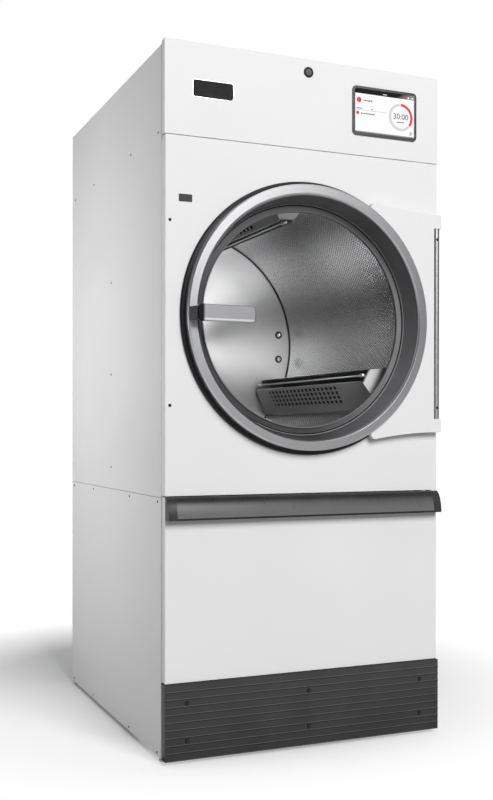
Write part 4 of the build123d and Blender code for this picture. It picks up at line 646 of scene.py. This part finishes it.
class DryerStageLook(bpy.types.PropertyGroup):
    """Camera, lamps and floor."""

    camera_place: FloatVectorProperty(
        name="Camera", description="Where the camera stands",
        subtype="XYZ", unit="LENGTH", default=(-1.341, -3.2858, 0.9068))
    camera_turn: FloatProperty(
        name="Camera turn", description="Turn toward the machine's right",
        unit="ROTATION", default=0.4013)
    lens: FloatProperty(
        name="Lens", description="Focal length in millimetres", default=47.78, min=10.0, max=200.0)
    rise: FloatProperty(
        name="Lens rise", description="Upward shift of the frame", default=0.0403)
    key_power: FloatProperty(
        name="Key lamp", description="Power of the lamp in front",
        default=860.0, min=0.0, unit="POWER")
    fill_power: FloatProperty(
        name="Fill lamp", description="Power of the lamp beside the machine",
        default=7.6, min=0.0, unit="POWER")
    top_power: FloatProperty(
        name="Top lamp", description="Power of the lamp above",
        default=55.0, min=0.0, unit="POWER")
    drum_power: FloatProperty(
        name="Drum lamps", description="Power that the lamps inside the drum take shares of",
        default=1.6, min=0.0, unit="POWER")
    world_level: FloatProperty(
        name="Surroundings", description="Level of the soft light from all round",
        default=0.20, min=0.0, max=1.0)


# ---- places read from the meshes
def points_of(name):
    """Corner points of a CAD node, where they stand."""
    node = nodes[name]
    return [node.matrix_world @ vertex.co for vertex in node.data.vertices]


def clusters(spots, reach):
    """Points in groups that keep within reach of their first point, seen along the depth."""
    groups = []
    for spot in spots:
        near = [group for group in groups if (group[0] - spot).xz.length < reach]
        if near:
            near[0].append(spot)
        else:
            groups.append([spot])
    return groups


def bolt_places():
    """Middle of each bolt in the drum's back plate, as (x, z)."""
    middles = []
    for head in clusters(points_of("drum_bolts"), 0.03):
        xs, zs = zip(*(spot.xz for spot in head))
        middles.append(((min(xs) + max(xs)) / 2, (min(zs) + max(zs)) / 2))
    return middles


def rib_crests():
    """Middle line of each rib's crest, as (x, z, nearest y, farthest y)."""
    spots = points_of("drum_ribs")
    reach = [math.hypot(spot.x, spot.z - DOOR_Z) for spot in spots]
    crest = [spot for spot, r in zip(spots, reach) if r < min(reach) + 0.003]
    lines = []
    for group in clusters(crest, 0.06):
        middle = sum((spot.xz for spot in group), Vector((0.0, 0.0))) / len(group)
        depths = [spot.y for spot in group]
        lines.append((middle.x, middle.y, min(depths), max(depths)))
    return lines


def look(name):
    """Settings by the name that they have on the scene."""
    return getattr(bpy.context.scene, name)


# ---- cabinet
WHITE_NODES = ("side_panel_left_lower", "side_panel_left_upper", "side_panel_right_lower",
               "side_panel_right_upper", "front_panel", "control_panel", "lint_door_panel",
               "door_wing")
# screws of a side: height of each row, and their places along the depth
SIDE_SCREWS = (
    (1.718, (-0.520, -0.263, 0.158, 0.413)),
    (1.367, (-0.051,)), (1.079, (-0.051,)), (0.789, (-0.051,)),
    (0.709, (-0.516, -0.250, 0.163, 0.422)),
    (0.023, (-0.514, -0.247, 0.166, 0.425)),
)
# head of a side screw: share of its radius, share of its height
SCREW_HEAD = ((0.0, 0.55), (0.28, 0.55), (0.34, 1.0), (0.6, 0.92), (0.88, 0.6), (1.0, 0.15),
              (1.0, 0.0))


class DRYER_OT_cabinet(bpy.types.Operator):
    """Give the painted sheets of the cabinet their powder coat"""

    bl_idname = "dryer.cabinet"
    bl_label = "Cabinet Enamel"

    def execute(self, context):
        wear(enamel("white_enamel", look("dryer_cabinet").enamel), *WHITE_NODES)
        return {"FINISHED"}


class DRYER_OT_dark_parts(bpy.types.Operator):
    """Coat the kick plate and the lint door's handle in charcoal"""

    bl_idname = "dryer.dark_parts"
    bl_label = "Kick Plate and Handle"

    def execute(self, context):
        tones = look("dryer_cabinet")
        low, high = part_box("kick_plate")
        wear(charcoal("charcoal_kick", tones.charcoal_light, tones.charcoal_dark, low.z, high.z),
             "kick_plate")
        low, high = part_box("lint_handle")
        wear(lip_coat("charcoal_lip", low.z, high.z), "lint_handle")
        wear(moulded("cap_plastic", (0.035, 0.035, 0.037), 0.35), "handle_end_caps")
        return {"FINISHED"}


class DRYER_OT_side_screws(bpy.types.Operator):
    """Drive the small dark screws along both sides"""

    bl_idname = "dryer.side_screws"
    bl_label = "Side Screws"

    def execute(self, context):
        sizes = look("dryer_cabinet")
        r, h = sizes.screw_radius, sizes.screw_height
        bm = bmesh.new()
        for side in (-1, 1):
            face = side * HALF_W
            profile = [(r * out, face + side * h * up) for out, up in SCREW_HEAD]
            for z, places in SIDE_SCREWS:
                for y in places:
                    lathe(bm, profile, (0, y, z), 14, "X")
        link("side_screws", bm, moulded("screw_black", (0.012, 0.012, 0.013), 0.3, 900.0),
             "cabinet")
        return {"FINISHED"}


class DRYER_OT_badge(bpy.types.Operator):
    """Set a bare plate with a thin metal border on the control panel"""

    bl_idname = "dryer.badge"
    bl_label = "Bare Plate"

    def execute(self, context):
        sizes = look("dryer_cabinet")
        border = brushed("border_metal", (0.75, 0.75, 0.76), 0.22, (1, 1, 20))
        field = moulded("plate_black", (0.004, 0.004, 0.0045), 0.6, 1500.0, 0.00001)
        # name, smaller by, corner radius, back and face before the panel, bevel
        for name, inset, corner, back, face, bevel, finish, slot in (
                ("plate_border", 0.0, 0.0075, 0.0, 0.0016, 0.0006, border, "satin_aluminium"),
                ("plate_field", 0.0036, 0.0060, 0.0014, 0.0022, 0.0003, field, "black_plastic")):
            outline = rounded_outline(sizes.badge_width - inset, sizes.badge_height - inset, corner)
            bm = bmesh.new()
            front_plate(bm, outline, (sizes.badge_x, sizes.badge_z), FRONT_Y - back,
                        FRONT_Y - face, bevel)
            link(name, bm, finish, "control_panel", smooth=False)
        return {"FINISHED"}


class DRYER_OT_small_parts(bpy.types.Operator):
    """Finish the lock, the blind plug, the front screws and the hinge post"""

    bl_idname = "dryer.small_parts"
    bl_label = "Lock, Plug and Screws"

    def execute(self, context):
        wear(glossy("lock_black", (0.010, 0.010, 0.011), 0.36), "lock_housing")
        wear(machined("lock_metal", (0.075, 0.075, 0.08), 0.4), "lock_cylinder")
        wear(moulded("plug_grey", (0.045, 0.045, 0.047)), "panel_plug")
        wear(glossy("head_black", (0.016, 0.016, 0.017), 0.2), "panel_screws")
        wear(brushed("post_metal", (0.40, 0.40, 0.41), 0.36, (40, 40, 1)), "door_hinge_post")
        wear(galvanised("bracket_zinc"), "hinge_brackets")
        return {"FINISHED"}


# ---- display
# how far the page's layers stand before the cover, and their thickness
PAGE_LEVEL, PAGE_THICK = 0.00015, 0.0002
INK_LEVEL, INK_THICK = 0.00022, 0.00012
# places below are from the display's middle, in metres
GAUGE_X, GAUGE_Z = 0.0528, -0.0054
GAUGE_OUTER, GAUGE_INNER = 0.0405, 0.0325
ROUND_MARK = (0.0870, -0.0499)
STRIP_Z = 0.0545
# rows of bars that stand for words: left, right, height, tallest bar
WORD_ROWS = ((-0.0720, -0.0430, 0.0303, 0.0052), (-0.0814, -0.0335, -0.0078, 0.0046))


def disc(radius, steps=28):
    return [on_circle(radius, 2 * math.pi * n / steps) for n in range(steps)]


def bar(width, height):
    return rounded_outline(width, height, min(width, height) * 0.3, 2)


class DRYER_OT_display(bpy.types.Operator):
    """Finish the display's frame and cover, and lay out its page"""

    bl_idname = "dryer.display"
    bl_label = "Touch Display"

    def execute(self, context):
        style = look("dryer_display")
        low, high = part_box("display_bezel")
        cx, cz = style.centre_x, (low.z + high.z) / 2
        face = screen_low.y
        wear(brushed("bezel_metal", (0.11, 0.11, 0.115), 0.32, (1, 1, 30), 0.001),
             "display_bezel")
        wear(black_glass("screen_cover"), "display_screen")
        page = lit_ink("page_ink", style.page, 0.16)
        red = lit_ink("red_ink", style.accent, 0.25)
        grey = lit_ink("grey_ink", (0.045, 0.045, 0.048), 0.02)
        pale = lit_ink("pale_ink", (0.56, 0.56, 0.57), 0.16)
        white = lit_ink("white_ink", (0.85, 0.85, 0.85), 0.2)

        def panel(name, shapes, ink, level=INK_LEVEL, thick=INK_THICK):
            """Flat shapes (outline, x, z) in one layer of the page."""
            bm = bmesh.new()
            for outline, x, z in shapes:
                front_plate(bm, outline, (cx + x, cz + z), face - level + thick, face - level)
            link(name, bm, ink, "control_panel", smooth=False)

        def arc(start, stop, steps):
            return ring_outline(GAUGE_OUTER, GAUGE_INNER, start, stop, steps), GAUGE_X, GAUGE_Z

        sheet = rounded_outline(0.1970, 0.1090, 0.0015, 2)
        panel("page_white", [(sheet, -0.0010, -0.0050)], page, PAGE_LEVEL, PAGE_THICK)
        discs = [(disc(0.0080), -0.0870, 0.0307), (disc(0.0052), -0.0916, -0.0072)]
        panel("page_discs", discs, red)
        start = style.gauge_start
        filled = start + style.gauge_fill
        panel("gauge_track", [arc(filled + 3, 357 + start, 70)], pale)
        panel("gauge_fill", [arc(start, filled, 40)], red)
        random.seed(4)
        words = []
        for left, right, z, tall in WORD_ROWS:
            x = left
            while x < right:
                w = min(random.uniform(0.0026, 0.0052), right - x)
                letter = bar(max(w, 0.0012), tall * random.choice((0.7, 0.7, 1.0)))
                words.append((letter, x + w / 2, z))
                x += w + 0.0011
        words += [(bar(0.103, 0.0006), -0.0450, 0.0020), (bar(0.020, 0.0022), -0.0860, 0.0062),
                  (bar(0.007, 0.0022), -0.0445, 0.0062),
                  (bar(0.026, 0.0024), GAUGE_X, GAUGE_Z - 0.0150),
                  (ring_outline(0.0052, 0.0042, 0, 358, 30), *ROUND_MARK),
                  (disc(0.0018, 12), *ROUND_MARK)]
        panel("page_words", words, grey)
        icons = [(disc(0.0026, 14), 0.0785, STRIP_Z), (bar(0.0046, 0.0040), 0.0920, STRIP_Z),
                 (bar(0.0130, 0.0018), -0.0010, STRIP_Z)]
        panel("strip_icons", icons, white, PAGE_LEVEL)
        panel("strip_alert", [(bar(0.0062, 0.0042), 0.0640, STRIP_Z)], red, PAGE_LEVEL)
        mesh = self.digits(context, style.reading)
        where = Matrix.Translation((cx + GAUGE_X, face - INK_LEVEL, cz + GAUGE_Z + 0.001))
        mesh.transform(where @ Matrix.Rotation(math.radians(90), 4, "X"))
        link("gauge_digits", mesh, grey, "control_panel", smooth=False)
        return {"FINISHED"}

    def digits(self, context, reading):
        """Mesh of the reading's digits, flat and centred."""
        letters = bpy.data.curves.new("gauge_reading", "FONT")
        letters.body = reading
        letters.size = 0.0235
        letters.align_x, letters.align_y = "CENTER", "CENTER"
        letters.extrude = 0.00006
        text = bpy.data.objects.new("gauge_reading", letters)
        context.scene.collection.objects.link(text)
        context.view_layer.update()
        shown = text.evaluated_get(context.evaluated_depsgraph_get())
        mesh = bpy.data.meshes.new_from_object(shown)
        bpy.data.objects.remove(text)
        mesh.name = "gauge_digits"
        mesh.materials.clear()
        return mesh


# ---- door and drum
# sections of the raised rings: out from the radius, toward the front
DISH_STEP = ((0.0, 0.0), (-0.0002, 0.0042), (-0.0012, 0.0052), (-0.0026, 0.0042), (-0.0030, 0.0))
DISH_GROOVE = ((-0.0031, 0.0), (-0.0034, 0.0010), (-0.0058, 0.0010), (-0.0062, 0.0))
GASKET_LIP = ((0.0, 0.0015), (0.0004, 0.0032), (0.0016, 0.0038), (0.0028, 0.0030),
              (0.0032, 0.0015))
DRUM_BEAD = ((0.0010, 0.0), (-0.0004, 0.0012), (-0.0006, 0.0022), (0.0012, 0.0030),
             (0.0028, 0.0022), (0.0026, 0.0))
DISH_STEP_R, GASKET_LIP_R, DRUM_BEAD_R = 0.3325, 0.3085, DRUM_R - 0.0045
# bolt's sealing ring: radius, toward the front
WASHER = ((0.0092, 0.0), (0.0096, 0.0016), (0.0120, 0.0020), (0.0138, 0.0012), (0.0142, 0.0))
# end of a rib's rolled edge: radius, distance along
CREST_END = ((0.0, 0.002), (0.0055, 0.004), (0.0070, 0.012), (0.0066, 0.024), (0.0032, 0.030))


class DRYER_OT_door(bpy.types.Operator):
    """Finish the door's ring, mouldings, gasket and glass"""

    bl_idname = "dryer.door"
    bl_label = "Drum Door"

    def execute(self, context):
        tones = look("dryer_door")
        wear(brushed("ring_aluminium", tones.aluminium, 0.33, edge=0.0015, turning=True,
                     contrast=0.03), "door_ring")
        wear(moulded("base_ring_black", (0.012, 0.012, 0.013), 0.32), "door_base_ring")
        # the cone and the gasket carry painted light above and on the hinge side
        wear(painted_light_moulding("dish_grey", tones.moulding, 3.8, 500.0), "door_dish")
        wear(painted_light_moulding("gasket_rubber", (0.095, 0.095, 0.098), 1.7, 700.0), "glass_gasket")
        wear(window_glass("door_window"), "door_glass")
        wear(felt("seal_felt"), "drum_seal")
        self.rings()
        return {"FINISHED"}

    def rings(self):
        """Raised step on the cone's floor with its dark groove, and the gasket's rolled lip; the
        step and the lip carry painted highlights in paler greys, the groove painted shade in black.
        """
        floor_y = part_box("glass_gasket")[0].y + 0.002
        # painted highlight on the step and the lip, painted shade in the groove
        grey = glossy("step_painted_highlight", (0.30, 0.30, 0.305), 0.3)
        black = glossy("groove_painted_shade", (0.004, 0.004, 0.004), 0.7)
        rubber = glossy("lip_painted_highlight", (0.20, 0.20, 0.205), 0.34)
        for name, radius, section, finish, slot in (
                ("dish_step", DISH_STEP_R, DISH_STEP, grey, "dark_moulding"),
                ("dish_groove", DISH_STEP_R, DISH_GROOVE, black, "dark_moulding"),
                ("gasket_lip", GASKET_LIP_R, GASKET_LIP, rubber, "black_rubber")):
            bead_ring(name, radius, floor_y, section, finish, "door")


class DRYER_OT_grip(bpy.types.Operator):
    """Finish the bar grip of the door, its neck drawn dark as painted shade and its foot pale as a
    painted highlight
    """

    bl_idname = "dryer.grip"
    bl_label = "Door Grip"

    def execute(self, context):
        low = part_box("door_handle")[0]
        made = Finish("grip_metal", Metallic=0.9)
        # painted shade on the neck
        neck = made.spread(made.axis("X"), 1.0, 0.0, low.x + 0.024, low.x + 0.030)
        # painted highlight along the foot
        foot = made.spread(made.axis("Z"), 0.75, 0.0, low.z + 0.006, low.z + 0.009)
        grain = made.cloud(50.0, 3.0, (1, 8, 60))
        bar = made.tone(grain, shade(look("dryer_door").aluminium, 0.62), 0.96, 1.04)
        lit = made.blend(foot, bar, (0.62, 0.62, 0.63))
        made.colour(made.blend(neck, lit, (0.008, 0.008, 0.009)))
        made.rough(made.spread(grain, 0.40, 0.46, 0.0, 1.0))
        made.bump(grain, 0.000001, 0.03, 0.0025)
        wear(made, "door_handle")
        return {"FINISHED"}


class DRYER_OT_drum(bpy.types.Operator):
    """Finish the drum's perforated wall, back plate, ribs and bolts"""

    bl_idname = "dryer.drum"
    bl_label = "Drum"

    def execute(self, context):
        tones = look("dryer_door")
        steel = tones.steel
        wear(perforated("drum_holes", steel, tones.hole_pitch, tones.hole_share, 0.27),
             "drum_shell")
        wear(satin("drum_plate", shade(steel, 0.66), 0.42, sectors=PLATE_PAINTED_SECTORS), "drum_back")
        wear(slotted("rib_steel", shade(steel, 0.78), 0.42), "drum_ribs")
        wear(machined("bolt_steel", (0.55, 0.55, 0.56), 0.22), "drum_bolts")
        wear(machined("shaft_steel", (0.42, 0.42, 0.43), 0.34), "drum_shaft")
        bead_ring("drum_bead", DRUM_BEAD_R, PLATE_Y - 0.0002, DRUM_BEAD,
                  moulded("bead_black", (0.012, 0.012, 0.012), 0.4, 300.0), "drum")
        self.washers()
        self.crests()
        return {"FINISHED"}

    def washers(self):
        """Dark sealing ring under the head of each bolt in the back plate."""
        bm = bmesh.new()
        profile = [(radius, PLATE_Y - ahead) for radius, ahead in WASHER]
        for x, z in bolt_places():
            lathe(bm, profile, (x, 0, z), 24)
        link("bolt_washers", bm, moulded("washer_black", (0.014, 0.014, 0.014), 0.45, 600.0),
             "drum")

    def crests(self):
        """Bright rolled edge along the crest of each rib, with a stud at either end."""
        bm = bmesh.new()
        for x, z, near, far in rib_crests():
            rod = [(radius, near + along) for radius, along in CREST_END]
            rod += [(radius, far - along) for radius, along in reversed(CREST_END)]
            lathe(bm, rod, (x, 0, z), 14)
        link("rib_crests", bm, satin("crest_steel", (0.78, 0.78, 0.785), 0.3, 0.8),
             "drum")


# ---- rear and inside
class DRYER_OT_inside(bpy.types.Operator):
    """Finish the sheets, castings, motor, pulleys and pipes behind the panels"""

    bl_idname = "dryer.inside"
    bl_label = "Rear and Inside"

    def execute(self, context):
        wear(galvanised("zinc_sheet"), "base_frame", "top_panel", "rear_bulkhead",
             "rear_panel_lower", "belt_guard", "motor_mount", "blower_housing", "exhaust_duct",
             "lint_chamber", "heater_box", "control_box", "junction_box")
        wear(cast("iron_grey"), "trunnion_housing", "jackshaft_bracket", "drum_pulley")
        wear(machined("turned_steel"), "jackshaft", "motor_shaft", "drum_bearings",
             "burner_tubes")
        wear(machined("pipe_steel", (0.34, 0.34, 0.35), 0.4), "gas_pipe")
        wear(brushed("cast_alloy", (0.5, 0.5, 0.51), 0.4), "gas_valve", "fan_wheel")
        wear(cast("motor_paint", (0.05, 0.06, 0.08)), "motor_body")
        wear(moulded("belt_rubber", (0.02, 0.02, 0.02), 0.6, 400.0), "drive_belts")
        wear(mesh_screen("screen_wire"), "lint_screen")
        wear(machined("foot_steel", (0.4, 0.4, 0.41), 0.4),
             "foot_front_left", "foot_front_right", "foot_rear_left", "foot_rear_right")
        return {"FINISHED"}


# ---- stage
CAMERA_TILT, CAMERA_ROLL = -0.0025, -0.0010
FLOOR_REACH = 14.0
# the floor's shade lies round this place, darkest within the near distance, gone at the far
SHADOW_MIDDLE = (0.0, 0.35, 0.0)
SHADOW_NEAR, SHADOW_FAR = 0.74, 1.26
# hidden lamps inside the drum: place across, rise above the axis, share of power
DRUM_LAMP_Y = FRONT_Y + 0.06
DRUM_LAMPS = (("drum_lamp_upper", 0.17, 0.335, 0.74), ("drum_lamp_lower", 0.12, -0.02, 0.72))


class DRYER_OT_stage(bpy.types.Operator):
    """Set up the pale floor, soft lamps, surroundings and camera"""

    bl_idname = "dryer.stage"
    bl_label = "Studio"

    def pale_floor(self):
        """Floor that looks white to the camera, with a soft shade round the machine."""
        made = Finish("floor_pale", Roughness=0.9)
        path = made.node("ShaderNodeLightPath").outputs
        mirrored = made.math("MAXIMUM", path["Is Glossy Ray"], path["Is Transmission Ray"])
        seen = made.math("MAXIMUM", path["Is Camera Ray"], mirrored)
        white = made.blend(made.cloud(30.0), (0.995, 0.995, 0.995), WHITE)
        made.colour(made.blend(seen, (0.36, 0.36, 0.36), white))
        ends = {0: made.coords(), 1: SHADOW_MIDDLE}
        apart = made.node("ShaderNodeVectorMath", ends, operation="DISTANCE").outputs["Value"]
        away = made.spread(apart, 0.0, 1.0, SHADOW_NEAR, SHADOW_FAR)
        glow = made.node("ShaderNodeEmission", {"Color": (*WHITE, 1.0), "Strength": 1.0})
        share = made.math("MULTIPLY", away, seen)
        both = made.node("ShaderNodeMixShader",
                         {0: share, 1: made.shader.outputs[0], 2: glow.outputs[0]})
        made.tree.links.new(both.outputs[0], made.output.inputs["Surface"])
        return made

    def lamp(self, name, place, target, size, power, hidden=False, spread=180):
        data = bpy.data.lights.new(name, "AREA")
        data.shape = "RECTANGLE"
        data.size, data.size_y = size
        data.energy = power
        data.spread = math.radians(spread)
        lamp = bpy.data.objects.new(name, data)
        lamp.visible_camera = not hidden
        lamp.location = place
        aim = Vector(target) - Vector(place)
        lamp.rotation_euler = aim.to_track_quat("-Z", "Y").to_euler()
        bpy.context.scene.collection.objects.link(lamp)

    def execute(self, context):
        stage = look("dryer_stage")
        scene = context.scene
        self.camera(scene, stage)
        self.floor(scene)
        self.lamp("key_lamp", (0.8, -9.0, 6.0), (0.0, -0.5, 0.95), (4.5, 4.5), stage.key_power)
        self.lamp("fill_lamp", (-3.0, 0.6, 1.2), (-0.43, 0.12, 1.2), (0.8, 0.8),
                  stage.fill_power, hidden=True, spread=68)
        self.lamp("top_lamp", (0.1, 0.0, 4.4), (0.1, 0.0, 0.0), (3.4, 1.6), stage.top_power)
        for name, x, rise, share in DRUM_LAMPS:
            aim = (x + 0.06, 0.4, DOOR_Z + rise * 1.1)
            self.lamp(name, (x, DRUM_LAMP_Y, DOOR_Z + rise), aim, (0.14, 0.10),
                      stage.drum_power * share, hidden=True, spread=120)
        self.surroundings(scene, stage.world_level)
        scene.view_settings.view_transform = "Standard"
        return {"FINISHED"}

    def camera(self, scene, stage):
        data = bpy.data.cameras.new("studio_camera")
        data.lens = stage.lens
        data.shift_y = stage.rise
        camera = bpy.data.objects.new("studio_camera", data)
        camera.location = stage.camera_place
        camera.rotation_euler = (math.pi / 2 + CAMERA_TILT, CAMERA_ROLL, -stage.camera_turn)
        scene.collection.objects.link(camera)
        scene.camera = camera

    def floor(self, scene):
        bm = bmesh.new()
        bmesh.ops.create_grid(bm, x_segments=8, y_segments=8, size=FLOOR_REACH)
        mesh = mesh_from(bm, "floor")
        mesh.materials.append(self.pale_floor().material)
        floor = bpy.data.objects.new("floor", mesh)
        floor.location.z = FLOOR_Z
        scene.collection.objects.link(floor)

    def surroundings(self, scene, level):
        """Even soft light from all round that looks white where it is seen directly."""
        world = bpy.data.worlds.new("studio_world")
        world.use_nodes = True
        scene.world = world
        tree = world.node_tree
        path = add_node(tree, "ShaderNodeLightPath").outputs
        rays = {0: path["Is Camera Ray"], 1: path["Is Transmission Ray"]}
        seen = add_node(tree, "ShaderNodeMath", rays, operation="MAXIMUM").outputs[0]
        limits = {"Value": seen, "To Min": level, "To Max": 1.0}
        strength = add_node(tree, "ShaderNodeMapRange", limits)
        background = tree.nodes["Background"].inputs
        background["Color"].default_value = (*WHITE, 1.0)
        tree.links.new(strength.outputs[0], background["Strength"])


# ---- panel and registration
OPERATORS = (DRYER_OT_cabinet, DRYER_OT_dark_parts, DRYER_OT_side_screws, DRYER_OT_badge,
             DRYER_OT_small_parts, DRYER_OT_display, DRYER_OT_door, DRYER_OT_grip,
             DRYER_OT_drum, DRYER_OT_inside, DRYER_OT_stage)
SETTINGS = (("dryer_cabinet", DryerCabinetLook), ("dryer_door", DryerDoorLook),
            ("dryer_display", DryerDisplayLook), ("dryer_stage", DryerStageLook))


class DRYER_PT_looks(bpy.types.Panel):
    """Everything that dresses the dryer, in building order"""

    bl_label = "Tumble Dryer"
    bl_idname = "DRYER_PT_looks"
    bl_space_type = "VIEW_3D"
    bl_region_type = "UI"
    bl_category = "Dryer"

    def draw(self, context):
        for operator in OPERATORS:
            self.layout.operator(operator.bl_idname)
        for name, group in SETTINGS:
            box = self.layout.box()
            for key in group.__annotations__:
                box.prop(getattr(context.scene, name), key)


def register():
    for name, group in SETTINGS:
        bpy.utils.register_class(group)
        setattr(bpy.types.Scene, name, PointerProperty(type=group))
    for operator in OPERATORS:
        bpy.utils.register_class(operator)
    bpy.utils.register_class(DRYER_PT_looks)


def unregister():
    bpy.utils.unregister_class(DRYER_PT_looks)
    for operator in reversed(OPERATORS):
        bpy.utils.unregister_class(operator)
    for name, group in reversed(SETTINGS):
        delattr(bpy.types.Scene, name)
        bpy.utils.unregister_class(group)


def main():
    register()
    for operator in OPERATORS:
        family, name = operator.bl_idname.split(".")
        getattr(getattr(bpy.ops, family), name)()


if __name__ == "__main__":
    main()
